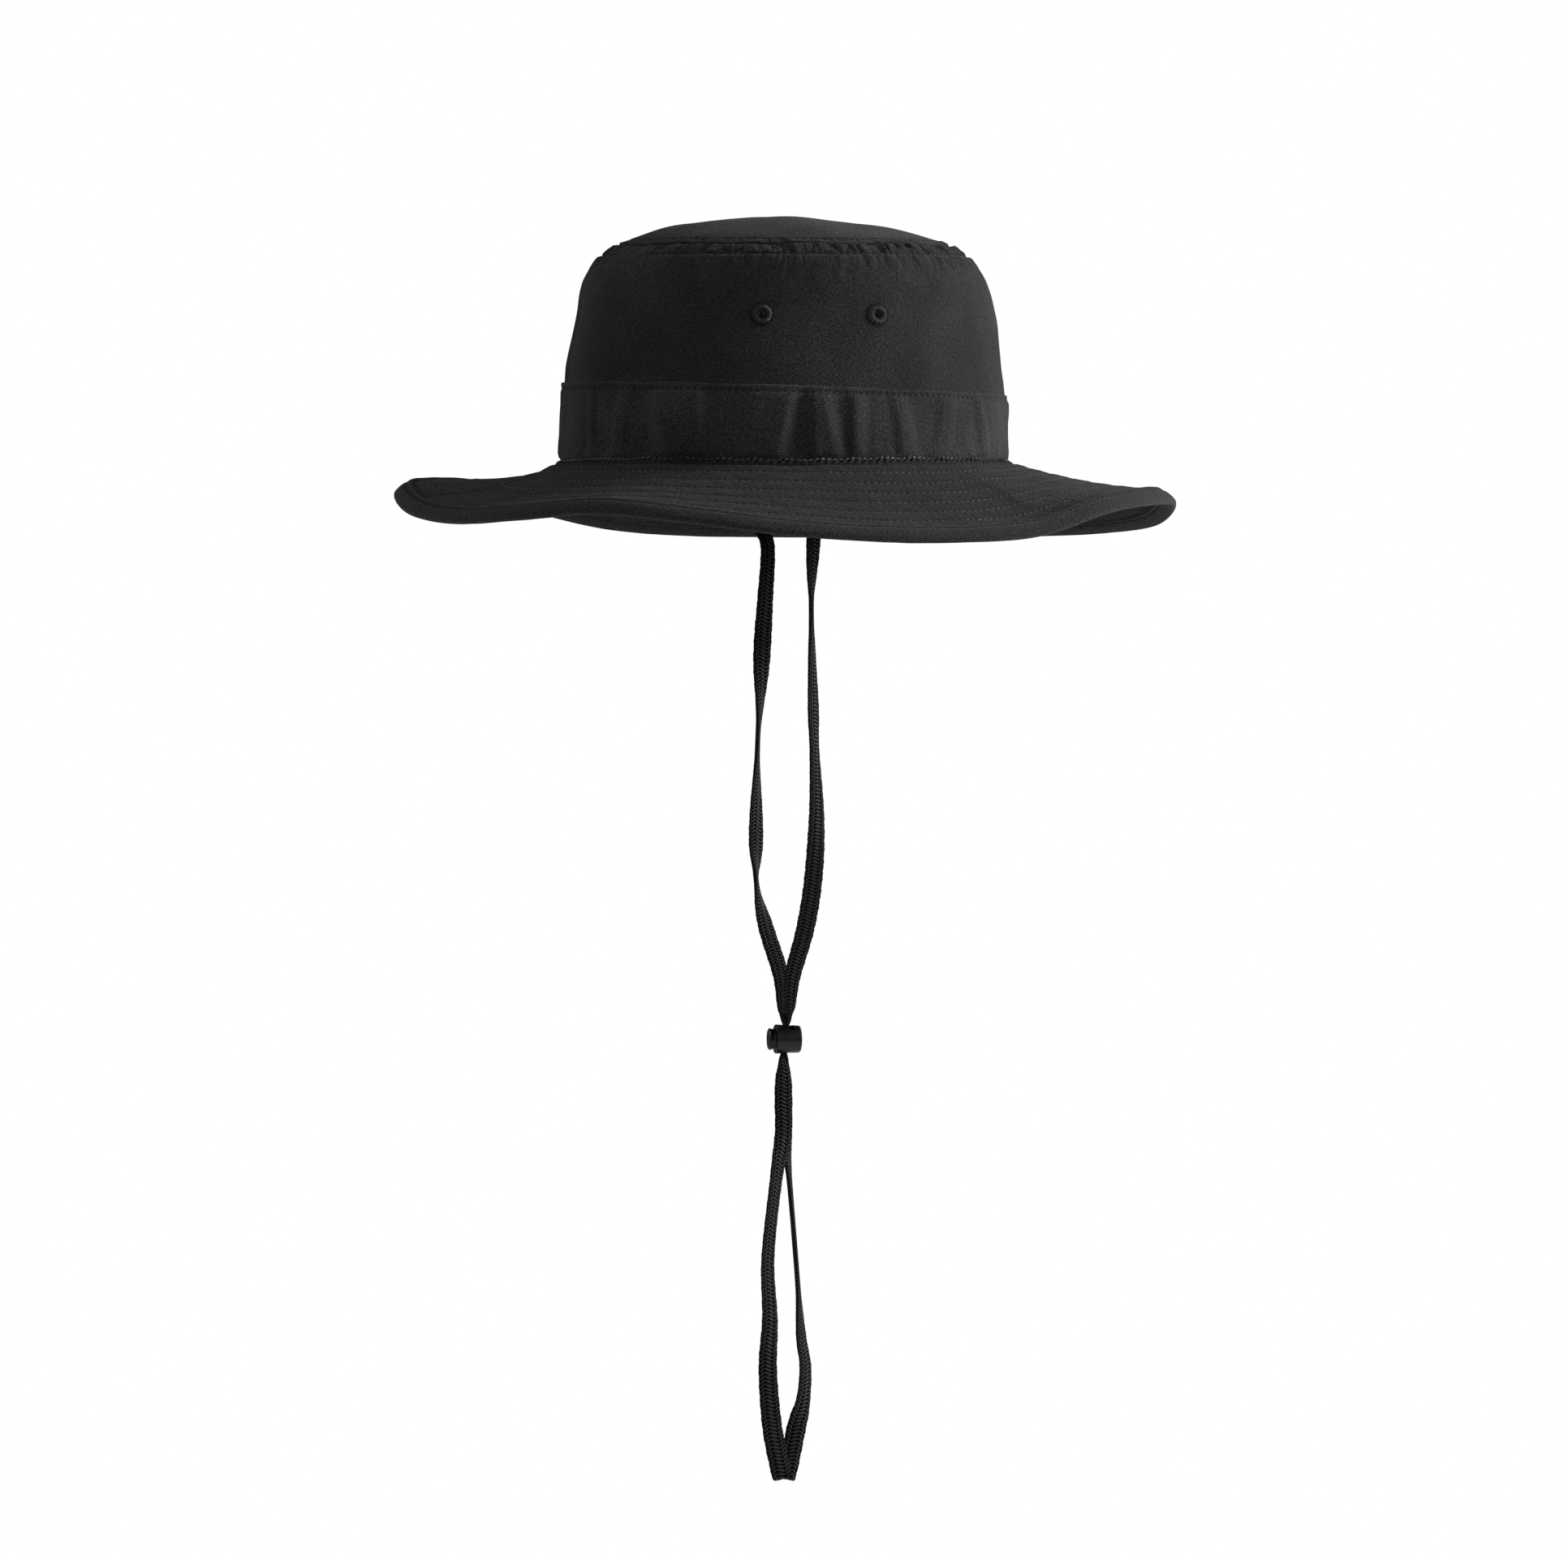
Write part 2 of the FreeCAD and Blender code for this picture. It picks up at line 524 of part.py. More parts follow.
def make_spring():
    start = -LOCK_HALF_LENGTH + BARREL_END_WALL + SPRING_WIRE_R + SPRING_END_GAP
    stop = PLUNGER_TRAVEL - SLOT_HALF_U - PLUNGER_INNER_WALL - SPRING_WIRE_R - SPRING_END_GAP
    pitch = (stop - start) / SPRING_COILS
    helix = Part.makeHelix(pitch, stop - start, SPRING_R)
    lean = math.atan2(pitch, 2 * math.pi * SPRING_R)
    wire_end = Part.Circle(vec(SPRING_R, 0, 0), vec(0, math.cos(lean), math.sin(lean)), SPRING_WIRE_R).toShape()
    coil = Part.Wire(helix).makePipeShell([Part.Wire(wire_end)], True, True)
    coil.rotate(vec(0, 0, 0), vec(0, 1, 0), 90)
    coil.translate(vec(start, 0, 0))
    return lock_frame(coil)


def main():
    os.makedirs("parts", exist_ok=True)
    make_crown()
    make_sweatband()
    make_brim()
    make_cord_ends()
    down, loop, up = make_cord()
    save(ribbon(down + loop + up), "chin_cord")
    save(make_barrel(), "lock_barrel")
    save(make_plunger(), "lock_plunger")
    save(make_spring(), "lock_spring")


main()
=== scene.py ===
"""The looks of a bucket hat with a chin cord and a cord lock, built round its CAD frame.

Lengths are millimetres unless a name says otherwise, in the CAD's own frame: +X to the hat's front, +Y to the
wearer's left, +Z up, and the origin at the centre of the head opening.
"""
import math

import bmesh
import bpy
import numpy as np
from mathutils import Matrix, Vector


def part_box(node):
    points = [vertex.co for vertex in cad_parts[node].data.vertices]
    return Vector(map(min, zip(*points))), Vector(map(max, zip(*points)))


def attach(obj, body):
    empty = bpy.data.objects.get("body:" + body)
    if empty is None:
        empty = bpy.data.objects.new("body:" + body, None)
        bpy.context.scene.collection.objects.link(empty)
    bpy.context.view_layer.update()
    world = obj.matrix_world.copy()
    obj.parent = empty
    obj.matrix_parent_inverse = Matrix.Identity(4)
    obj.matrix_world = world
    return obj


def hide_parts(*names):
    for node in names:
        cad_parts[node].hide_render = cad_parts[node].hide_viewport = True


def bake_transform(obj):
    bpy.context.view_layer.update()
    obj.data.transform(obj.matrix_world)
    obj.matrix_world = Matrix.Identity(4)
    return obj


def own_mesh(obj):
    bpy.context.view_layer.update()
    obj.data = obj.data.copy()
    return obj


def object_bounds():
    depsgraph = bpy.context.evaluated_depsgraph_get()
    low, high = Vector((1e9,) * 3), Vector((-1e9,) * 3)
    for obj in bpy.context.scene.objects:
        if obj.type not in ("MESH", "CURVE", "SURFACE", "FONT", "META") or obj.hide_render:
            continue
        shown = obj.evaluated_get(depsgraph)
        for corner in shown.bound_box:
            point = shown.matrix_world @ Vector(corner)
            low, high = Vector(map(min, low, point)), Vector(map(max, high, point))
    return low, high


MM = 0.001
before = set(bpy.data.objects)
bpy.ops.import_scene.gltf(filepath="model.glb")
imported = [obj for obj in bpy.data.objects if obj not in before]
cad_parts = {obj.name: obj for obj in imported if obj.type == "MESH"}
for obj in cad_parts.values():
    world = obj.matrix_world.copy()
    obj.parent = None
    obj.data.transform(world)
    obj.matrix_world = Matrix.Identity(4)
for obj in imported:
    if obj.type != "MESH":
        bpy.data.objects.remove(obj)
cad_low, cad_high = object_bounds()


def box(node):
    """A CAD node's lowest and highest corners, in millimetres."""
    low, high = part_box(node)
    return np.array(low) / MM, np.array(high) / MM


# ---------------------------------------------------------------- sizes

HALF_LENGTH, HALF_WIDTH, BAND_FRONT_TOP = box("crown_band")[1]
OVAL = HALF_WIDTH / HALF_LENGTH
BAND_STEP = 0.8                                    # how far the band stands proud of the wall above it
BAND_SLANT = 3.0                                   # how much its top rises at the front and sinks at the back
BAND_TOP = BAND_FRONT_TOP - BAND_SLANT
CROWN_TOP = box("crown_tip")[1][2]
TIP_EDGE_Z = box("crown_side_left")[1][2]
SEAM_STEP = 0.85                                   # how far outside the band the brim starts
BRIM_BASE = np.array([HALF_LENGTH, HALF_WIDTH]) + SEAM_STEP
MEAN_R = HALF_LENGTH * 0.93                        # the mean radius of the head's oval
CLOTH = 0.6
BRIM_CLOTH = 0.4
STITCH_PITCH = 3.2
CORD_TOP_Z = box("chin_cord")[1][2]
CORD_END_TOP_Z = box("cord_end_left")[1][2]

# Half length and height of the crown's wall, as shares of the band's half length and the tip seam's height.
WALL_OUTLINE = [
    (1.0, 0.0), (0.9995, 0.165), (0.993, 0.29), (0.983, 0.39), (0.967, 0.52), (0.954, 0.61), (0.937, 0.70),
    (0.925, 0.765), (0.906, 0.826), (0.877, 0.882), (0.853, 0.917), (0.825, 0.947), (0.783, 0.977),
    (0.742, 1.0),
]
TIP_FULLNESS = 2.8                                 # the dome's power: a higher one is flatter in the middle
TIP_LEAN = 0.028                                   # how much higher the tip's front is than its back

BRIM_ROWS = 6
BRIM_FLAT = 68.6                                   # cloth length from the base seam to the binding
ROW_STEP = BRIM_FLAT / (BRIM_ROWS + 1)
BRIM_ROW_PLACES = [(k + 1) * ROW_STEP for k in range(BRIM_ROWS)]
BRIM_RIM = 9.2                                     # and on from there to the edge
BRIM_ROOT_SLOPE = 0.45                             # sine of the brim's slope where it leaves the crown
BRIM_BACK_EASE = 0.20                              # how much flatter it leaves at the back
BRIM_FRONT_EASE = 0.03
BRIM_LEAST_CURVE = 1.12                            # the least power of the slope's decay outward
SEAM_KINK = 0.22                                   # extra slope close to the seam
SEAM_KINK_LENGTH = 7.0
SEAM_SAG = 1.5
BRIM_BACK_REACH = 0.05                             # how much further out the brim reaches, as a share
BRIM_FRONT_REACH = 0.018
RIM_TURN = math.radians(44)                        # how far the edge turns down, over the length of the bend
RIM_BEND = 3.5
# Drop from the seam to the binding, every 15 degrees from 5 degrees past the front towards the left ear.
BRIM_DROPS = [
    19.0, 23.0, 21.6, 19.3, 23.5, 28.8, 31.6, 31.9, 28.8, 18.0, 13.8, 14.4,
    22.3, 25.2, 26.5, 27.0, 27.2, 26.6, 26.2, 23.2, 15.0, 8.4, 8.4, 10.7,
]
BRIM_FIRST_ANGLE = math.radians(5)
BRIM_HALF_THICKNESS = 1.05
BINDING_LIFT = 1.65                                # half the thickness of the folded binding
LEFT_EAR, RIGHT_EAR = math.radians(82), math.radians(278)

# ---------------------------------------------------------------- helpers for shapes


def smoothstep(x):
    """0 below 0, 1 above 1 and a soft step between."""
    x = np.clip(x, 0.0, 1.0)
    return x * x * (3 - 2 * x)


def bump(x, centre, width):
    """1 at the centre, falling to 0 some two widths to either side."""
    return np.exp(-((x - centre) / width) ** 2)


def unit(vectors):
    return vectors / np.maximum(np.linalg.norm(vectors, axis=-1, keepdims=True), 1e-9)


def through(a, b, c, d, t):
    """A smooth curve from b to c as t runs 0 to 1, with a and d as the values before and after."""
    cubic = 3 * b - a - 3 * c + d
    return 0.5 * (2 * b + (c - a) * t + (2 * a - 5 * b + 4 * c - d) * t ** 2 + cubic * t ** 3)


def rounded(value, power):
    """A sine or cosine raised to a power with its sign kept, for ovals that are squarer or more pointed."""
    return np.sign(value) * np.abs(value) ** power


def round_the_head(count):
    """Evenly spaced angles all the way round."""
    return np.linspace(0, math.tau, count, endpoint=False)


def from_centre_seams(theta):
    """The angle of each place from the nearer of the seams at the front and back centre."""
    return np.abs((theta[:, None] + math.pi / 2) % math.pi - math.pi / 2)


def noise(u, v, cells_u, cells_v, seed):
    """Smooth random values from -1 to 1. u runs 0 to 1 and joins up with itself, v runs 0 to 1."""
    grid = np.random.RandomState(seed).uniform(-1, 1, (cells_u, cells_v + 2))
    x = (u % 1.0) * cells_u
    y = np.clip(v, 0.0, 1.0) * cells_v
    i, j = np.floor(x).astype(int), np.floor(y).astype(int)
    fx, fy = smoothstep(x - i), smoothstep(y - j)
    i, k = i % cells_u, (i + 1) % cells_u
    low = grid[i, j] * (1 - fx) + grid[k, j] * fx
    high = grid[i, j + 1] * (1 - fx) + grid[k, j + 1] * fx
    return low * (1 - fy) + high * fy


def puffs(u, v, cells_u, cells_v, seed):
    """Rounded swellings with sharp creases between them, from 0 to 1."""
    return np.abs(noise(u, v, cells_u, cells_v, seed)) ** 0.7


def normals_of(grid, closed):
    """Unit normals of a grid of points [around, across, xyz]."""
    if closed:
        around = np.roll(grid, -1, 0) - np.roll(grid, 1, 0)
    else:
        around = np.gradient(grid, axis=0)
    return unit(np.cross(around, np.gradient(grid, axis=1)))


def mesh_object(name, points, quads, uvs, material, shade=None):
    """A mesh of quads. Shade is the painted shade of each point, from 0 to 1, mostly in creases and needle
    holes.
    """
    mesh = bpy.data.meshes.new(name)
    mesh.vertices.add(len(points))
    mesh.vertices.foreach_set("co", (points * MM).astype(np.float32).ravel())
    mesh.loops.add(quads.size)
    mesh.loops.foreach_set("vertex_index", quads.astype(np.int32).ravel())
    mesh.polygons.add(len(quads))
    mesh.polygons.foreach_set("loop_start", np.arange(0, quads.size, 4, dtype=np.int32))
    mesh.polygons.foreach_set("use_smooth", np.ones(len(quads), dtype=bool))
    mesh.update(calc_edges=True)
    layer = mesh.uv_layers.new(name="UVMap")
    layer.data.foreach_set("uv", uvs.astype(np.float32).ravel())
    if shade is not None:
        marks = mesh.attributes.new("shade", "FLOAT", "POINT")
        marks.data.foreach_set("value", np.clip(shade, 0, 1).astype(np.float32).ravel())
    mesh.validate()
    mesh.materials.append(material)
    obj = bpy.data.objects.new(name, mesh)
    bpy.context.scene.collection.objects.link(obj)
    return obj


def grid_quads(n, m, closed, offset=0, flip=False):
    """Quads of an n by m grid of points and the grid places of their corners."""
    count = n if closed else n - 1
    i, j = np.meshgrid(np.arange(count), np.arange(m - 1), indexing="ij")
    corners = [(i, j), (i + 1, j), (i + 1, j + 1), (i, j + 1)]
    if flip:
        corners = corners[::-1]
    places = np.stack([np.stack(c, -1) for c in corners], 2).reshape(-1, 4, 2)
    return (places[:, :, 0] % n) * m + places[:, :, 1] + offset, places


def edge_quads(i, j, across, n, m, flip):
    """Quads that join face and back along one edge of an n by m grid, and their corners' grid places."""
    i, j = np.broadcast_arrays(i, j)
    next_i, next_j = (i, j + 1) if across else (i + 1, j)
    start, end = i * m + j, next_i % n * m + next_j
    quads = np.stack([start, start + n * m, end + n * m, end], 1)
    places = np.stack([np.stack(p, 1) for p in 2 * [(i, j)] + 2 * [(next_i, next_j)]], 1)
    return (quads[:, ::-1] if flip else quads), places


def cloth(name, grid, material, thickness=CLOTH, closed=False, flip=False, uv=None, shade=None):
    """A cloth piece: the grid is its face, and its back lies one thickness behind. uv is in centimetres."""
    n, m = grid.shape[:2]
    back = grid - normals_of(grid, closed) * (-thickness if flip else thickness)
    around, across = np.arange(n if closed else n - 1), np.arange(m - 1)
    faces = [grid_quads(n, m, closed, 0, flip), grid_quads(n, m, closed, n * m, not flip)]
    faces += [edge_quads(around, j, False, n, m, j > 0) for j in (0, m - 1)]
    if not closed:
        faces += [edge_quads(i, across, True, n, m, i == 0) for i in (0, n - 1)]
    quads, places = (np.concatenate(part) for part in zip(*faces))
    if uv is None:
        uv = arc_uv(grid, closed)
    points = np.concatenate([grid.reshape(-1, 3), back.reshape(-1, 3)])
    if shade is not None:
        shade = np.concatenate([shade.ravel(), shade.ravel()])
    return mesh_object(name, points, quads, uv[places[:, :, 0], places[:, :, 1]], material, shade)


def arc_uv(grid, closed):
    """Centimetres along the grid each way, so that the weave keeps its size."""
    full = np.concatenate([grid, grid[:1]]) if closed else grid
    around = np.linalg.norm(np.diff(full, axis=0), axis=2).mean(1)
    across = np.linalg.norm(np.diff(full, axis=1), axis=2).mean(0)
    u = np.concatenate([[0], np.cumsum(around)]) / 10
    v = np.concatenate([[0], np.cumsum(across)]) / 10
    return np.stack(np.meshgrid(u, v, indexing="ij"), -1)


STITCH_RINGS = 6


def stitch_rows(name, rows, material, pitch=STITCH_PITCH, share=0.72, radius=0.2, height=0.12, lean=0.0,
                seed=1):
    """Thread stitches that arch along lines of points, from one needle hole to the next.

    Share is a stitch's part of the pitch, and lean is how far it slants to the side of the line.
    """
    random = np.random.RandomState(seed)
    all_points, all_quads = [], []
    used = 0
    for points, normals in rows:
        walked = length_along(points)
        count = int(walked[-1] // pitch)
        middle = (np.arange(count) + 0.5) * walked[-1] / count + random.uniform(-0.1, 0.1, count)
        centre = at_lengths(points, walked, middle)
        up = at_lengths(normals, walked, middle)
        ahead = unit(at_lengths(points, walked, middle + 0.4) - at_lengths(points, walked, middle - 0.4))
        side = np.cross(ahead, up)
        ahead = ahead + side * (lean + random.uniform(-0.12, 0.12, (count, 1)))
        half = pitch * share / 2 * random.uniform(0.9, 1.08, (count, 1))
        rings = []
        for k in range(STITCH_RINGS):
            turn = math.pi * k / (STITCH_RINGS - 1)
            spot = centre - ahead * half * math.cos(turn) + up * (height * math.sin(turn) ** 0.6 - 0.12)
            thick = radius * (0.45 + 0.55 * math.sin(turn))
            for q in range(STITCH_RINGS):
                angle = math.tau * q / STITCH_RINGS
                rings.append(spot + side * thick * math.cos(angle) + up * thick * math.sin(angle))
        around = np.arange(STITCH_RINGS)
        start = np.arange(STITCH_RINGS - 1)[:, None] * STITCH_RINGS
        corners = [start + around, start + (around + 1) % STITCH_RINGS]
        corners += [corners[1] + STITCH_RINGS, corners[0] + STITCH_RINGS]
        tube = np.stack(corners, -1).reshape(1, -1, 4)
        block = STITCH_RINGS ** 2
        all_quads.append((tube + np.arange(count)[:, None, None] * block + used).reshape(-1, 4))
        all_points.append(np.stack(rings, 1).reshape(-1, 3))
        used += count * block
    points, quads = np.concatenate(all_points), np.concatenate(all_quads)
    uvs = np.stack([points[quads][:, :, 0] / 10, points[quads][:, :, 2] / 10], -1)
    return mesh_object(name, points, quads, uvs, material)


def length_along(points):
    """The length walked along a line to each of its points."""
    return np.concatenate([[0], np.cumsum(np.linalg.norm(np.diff(points, axis=0), axis=1))])


def at_lengths(values, walked, wanted):
    """Points or directions of a line, at lengths walked along it."""
    return np.stack([np.interp(wanted, walked, values[:, k]) for k in range(3)], 1)


def needle_holes(points, pitch=STITCH_PITCH):
    """How near each point of a stitched line is to a needle hole, from 0 to 1."""
    walked = length_along(points)
    phase = walked / walked[-1] * int(walked[-1] // pitch)
    return bump(phase - np.round(phase), 0, 0.2)


def stops_near(rows, low, high, coarse=1.4, span=1.0):
    """Places from low to high, closer together beside each stitch row. A place of 1 is span millimetres."""
    near = [row + step / span for row in rows for step in (-1.1, -0.65, -0.3, 0, 0.3, 0.65, 1.1)]
    steps = np.arange(low + coarse, high - coarse / 2, coarse)
    between = [x for x in steps if min(abs(x - row) for row in rows) > 1.6 / span]
    return np.array(sorted([low] + [x for x in near if low < x < high] + between + [high]))


def row_on(grid, normals, j):
    """One line of a grid, as a stitch row."""
    return grid[:, j], normals[:, j]


def closed_row(grid, normals, j):
    """One line of a closed grid, as a stitch row that ends where it starts."""
    return tuple(np.concatenate([values[:, j], values[:1, j]]) for values in (grid, normals))


def nearest(values, wanted):
    return int(np.argmin(np.abs(np.asarray(values) - wanted)))


# ---------------------------------------------------------------- materials


class Look:
    """A procedural material, built node by node."""

    def __init__(self, name):
        self.material = bpy.data.materials.new(name)
        self.material.use_nodes = True
        self.tree = self.material.node_tree
        self.shader = self.tree.nodes["Principled BSDF"]

    def node(self, kind, inputs=(), **settings):
        made = self.tree.nodes.new(kind)
        for key, value in settings.items():
            setattr(made, key, value)
        for key, value in dict(inputs).items():
            self.put(made.inputs[key], value)
        return made

    def put(self, socket, value):
        if isinstance(value, bpy.types.NodeSocket):
            self.tree.links.new(value, socket)
        else:
            socket.default_value = value

    def math(self, operation, a, b=0.0):
        made = self.node("ShaderNodeMath", operation=operation)
        self.put(made.inputs[0], a)
        self.put(made.inputs[1], b)
        return made.outputs[0]

    def product(self, first, *others):
        for value in others:
            first = self.math("MULTIPLY", first, value)
        return first

    def total(self, first, *others):
        for value in others:
            first = self.math("ADD", first, value)
        return first

    def place(self, kind="Object"):
        return self.node("ShaderNodeTexCoord").outputs[kind]

    def shade(self):
        """The painted shade that the meshes carry in creases and needle holes, from 0 to 1."""
        return self.node("ShaderNodeAttribute", attribute_name="shade").outputs["Fac"]

    def noise(self, vector, scale, detail=2.0):
        """A noise value from 0 to 1; scale is how many features there are per unit along each axis."""
        placed = self.node("ShaderNodeMapping", {"Vector": vector, "Scale": scale}).outputs[0]
        made = self.node("ShaderNodeTexNoise", {"Vector": placed, "Scale": 1.0, "Detail": detail})
        return made.outputs[0]

    def ramp(self, value, low, high, to_low, to_high):
        made = self.node("ShaderNodeMapRange", {
            "Value": value, "From Min": low, "From Max": high, "To Min": to_low, "To Max": to_high,
        })
        return made.outputs[0]

    def grey(self, value, tint=(1.0, 1.0, 1.03)):
        """A colour from a single brightness, very slightly cool."""
        parts = self.node("ShaderNodeCombineColor")
        for socket, t in zip(parts.inputs, tint):
            self.put(socket, self.math("MULTIPLY", value, t))
        return parts.outputs[0]

    def set(self, **values):
        for key, value in values.items():
            self.put(self.shader.inputs[key.replace("_", " ")], value)

    def bump(self, height, strength, depth):
        made = self.node("ShaderNodeBump", {"Height": height, "Strength": strength, "Distance": depth * MM})
        self.put(self.shader.inputs["Normal"], made.outputs[0])


def cloth_look(name, brightness, sheen=0.12, mottle=0.2, grain=0.75, thread_per_cm=17.0, roughness=0.85):
    """Plain woven cloth: crossing threads, a speckled grain, slow blotchy fading, and painted shade that
    darkens it and dulls its sheen in creases.
    """
    look = Look(name)
    uv = look.place("UV")
    place = look.place()
    weave = look.total(
        look.noise(uv, (thread_per_cm, thread_per_cm / 3, 1), 1.0),
        look.noise(uv, (thread_per_cm / 3, thread_per_cm, 1), 1.0),
    )
    speck = look.noise(uv, (thread_per_cm * 0.8, thread_per_cm * 0.8, 1), 3.0)
    slub = look.noise(uv, (thread_per_cm * 0.3, thread_per_cm * 0.4, 1), 3.0)
    blotch = look.noise(place, (48, 48, 40), 3.0)
    wide = look.noise(place, (13, 13, 17), 1.0)
    threads = look.ramp(weave, 0.75, 1.25, 1 - grain * 0.6, 1 + grain * 0.6)
    specks = look.ramp(look.total(speck, look.product(slub, 0.35)), 0.43, 0.92, 1 - grain, 1 + grain)
    fade = look.ramp(look.total(blotch, wide), 0.75, 1.25, 1 - mottle, 1 + mottle)
    crease_shade = look.shade()
    # Painted shade: the colour darkens where a mesh's shade is full.
    tone = look.product(threads, specks, fade, brightness, look.ramp(crease_shade, 0, 1, 1, 0.2))
    look.set(
        Base_Color=look.grey(tone), Roughness=look.ramp(speck, 0.3, 0.7, roughness - 0.06, roughness + 0.08),
        Specular_IOR_Level=0.2, Sheen_Weight=look.product(look.ramp(crease_shade, 0, 1, sheen, 0), specks),
        Sheen_Roughness=0.45, Sheen_Tint=(0.9, 0.91, 0.93, 1),
    )
    look.bump(look.total(weave, speck, slub), 0.9, 0.4)
    return look.material


def thread_look(name, brightness):
    """Twisted polyester thread, a little glossier than the cloth, with painted shade darkening its valleys.
    """
    look = Look(name)
    strands = look.noise(look.place(), (1900, 1900, 1900), 1.0)
    wide = look.noise(look.place(), (42, 42, 42), 2.0)
    crease_shade = look.shade()
    # Painted shade: the thread's colour darkens where a mesh's shade marks a valley.
    tone = look.product(
        look.ramp(strands, 0.3, 0.7, 0.6, 1.5), look.ramp(wide, 0.35, 0.65, 0.4, 1.5),
        look.ramp(crease_shade, 0, 1, 1.3, 0.1), brightness,
    )
    look.set(
        Base_Color=look.grey(tone), Roughness=0.42, Specular_IOR_Level=look.ramp(crease_shade, 0, 1, 0.45, 0.02),
        Sheen_Weight=0.03,
    )
    look.bump(strands, 0.7, 0.2)
    return look.material


WALES = 5                                          # the lines of stitches on each face of the braid
STITCHES_PER_CM = 5.6


def braid_look(name, brightness):
    """A flat tubular braid: lines of small slanted stitches that meet in chevrons. u is 1 for each face."""
    look = Look(name)
    uv = look.place("UV")
    across, along = look.node("ShaderNodeSeparateXYZ", {"Vector": uv}).outputs[:2]
    wale = look.product(across, float(WALES))
    slant = look.math("ABSOLUTE", look.math("SUBTRACT", look.math("FRACT", look.product(wale, 0.5)), 0.5))
    phase = look.total(look.product(along, STITCHES_PER_CM), look.product(slant, 1.7))
    yarn = look.math("ABSOLUTE", look.math("SINE", look.product(phase, math.pi)))
    rib = look.math("ABSOLUTE", look.math("SINE", look.product(wale, math.pi)))
    height = look.total(look.product(yarn, 0.9), look.product(rib, 0.5))
    fuzz = look.noise(uv, (6, 8, 1), 3.0)
    # The yarn pattern, with painted shade: the colour darkens towards black in the hollows between the yarns.
    hollow_shade = look.ramp(height, 0.45, 1.3, 0.0, 2.9)
    tone = look.product(hollow_shade, look.ramp(fuzz, 0.32, 0.68, 0.45, 1.5), brightness)
    look.set(
        Base_Color=look.grey(tone), Roughness=look.ramp(fuzz, 0.3, 0.7, 0.5, 0.7),
        Specular_IOR_Level=look.ramp(height, 0.6, 1.35, 0.0, 0.24), Sheen_Weight=0.01, Sheen_Roughness=0.4,
    )
    look.bump(look.total(height, look.product(fuzz, 0.4)), 1.0, 0.5)
    return look.material


def plastic_look(name, brightness, roughness):
    """Moulded nylon with a fine grain, a few scuffs and a soft gloss."""
    look = Look(name)
    grain = look.noise(look.place(), (2600, 2600, 2600), 2.0)
    scuff = look.noise(look.place(), (240, 240, 700), 3.0)
    tone = look.product(look.ramp(scuff, 0.3, 0.7, 0.8, 1.3), brightness)
    look.set(
        Base_Color=look.grey(tone), Roughness=look.ramp(scuff, 0.3, 0.7, roughness - 0.06, roughness + 0.1),
        Specular_IOR_Level=0.3, Coat_Weight=0.05, Coat_Roughness=0.2,
    )
    look.bump(look.total(grain, scuff), 0.12, 0.05)
    return look.material


def steel_look(name):
    """Drawn spring wire, with fine marks along it."""
    look = Look(name)
    drawn = look.noise(look.place(), (900, 4000, 4000), 2.0)
    look.set(
        Base_Color=look.grey(look.ramp(drawn, 0.3, 0.7, 0.45, 0.65)), Metallic=1.0,
        Roughness=look.ramp(drawn, 0.3, 0.7, 0.22, 0.4),
    )
    look.bump(drawn, 0.2, 0.02)
    return look.material


def felt_look(name, brightness):
    """Matted fibres of a non-woven sheet."""
    look = Look(name)
    fibre = look.noise(look.place(), (700, 700, 700), 5.0)
    clump = look.noise(look.place(), (90, 90, 90), 2.0)
    tone = look.product(
        look.ramp(fibre, 0.3, 0.7, 0.75, 1.2), look.ramp(clump, 0.3, 0.7, 0.85, 1.1), brightness,
    )
    look.set(Base_Color=look.grey(tone), Roughness=0.95, Sheen_Weight=0.3)
    look.bump(fibre, 0.6, 0.3)
    return look.material


LOOKS = {
    "crown_cloth": cloth_look("crown_cloth", 0.019, mottle=0.34),
    "band_cloth": cloth_look("band_cloth", 0.025, mottle=0.3),
    "brim_cloth": cloth_look("brim_cloth", 0.0175, sheen=0.06, mottle=0.14),
    # The brim's underside is a darker copy of its cloth: painted shade for the side that faces down.
    "under_cloth": cloth_look("under_cloth", 0.004, sheen=0.02),
    "binding_tape": cloth_look("binding_tape", 0.020, sheen=0.10, mottle=0.1),
    "stiffener_felt": felt_look("stiffener_felt", 0.4),
    "seam_tape": cloth_look("seam_tape", 0.022, thread_per_cm=14.0),
    "sweatband_cloth": cloth_look("sweatband_cloth", 0.026, thread_per_cm=12.0, roughness=0.9),
    "label_satin": cloth_look("label_satin", 0.5, sheen=0.4, mottle=0.05, grain=0.1, roughness=0.5),
    "eyelet_thread": thread_look("eyelet_thread", 0.024),
    "cord_braid": braid_look("cord_braid", 0.0075),
    "lock_plastic": plastic_look("lock_plastic", 0.004, 0.36),
    "button_plastic": plastic_look("button_plastic", 0.003, 0.3),
    "spring_steel": steel_look("spring_steel"),
}
SEWING_THREAD = thread_look("sewing_thread", 0.040)
# A darker copy of the same thread: painted shade for stitches that lie in shadow.
SHADED_THREAD = thread_look("shaded_thread", 0.011)
# A lighter copy of the same thread: painted light for the glossy base-seam stitches that catch the lamp.
LIT_SEAM_THREAD = thread_look("lit_seam_thread", 0.055)


def sew(name, rows, thread, slot, **sizes):
    """Rows of stitches through the hat's cloth."""
    dress(stitch_rows(name, rows, thread, **sizes), "hat", slot)


def dress(obj, body, slot, *nodes):
    """A finished piece: it rides on a body and stands for its CAD nodes, which it hides; the slot is not
    used.
    """
    if body:
        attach(obj, body)
    if nodes:
        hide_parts(*nodes)
    return obj


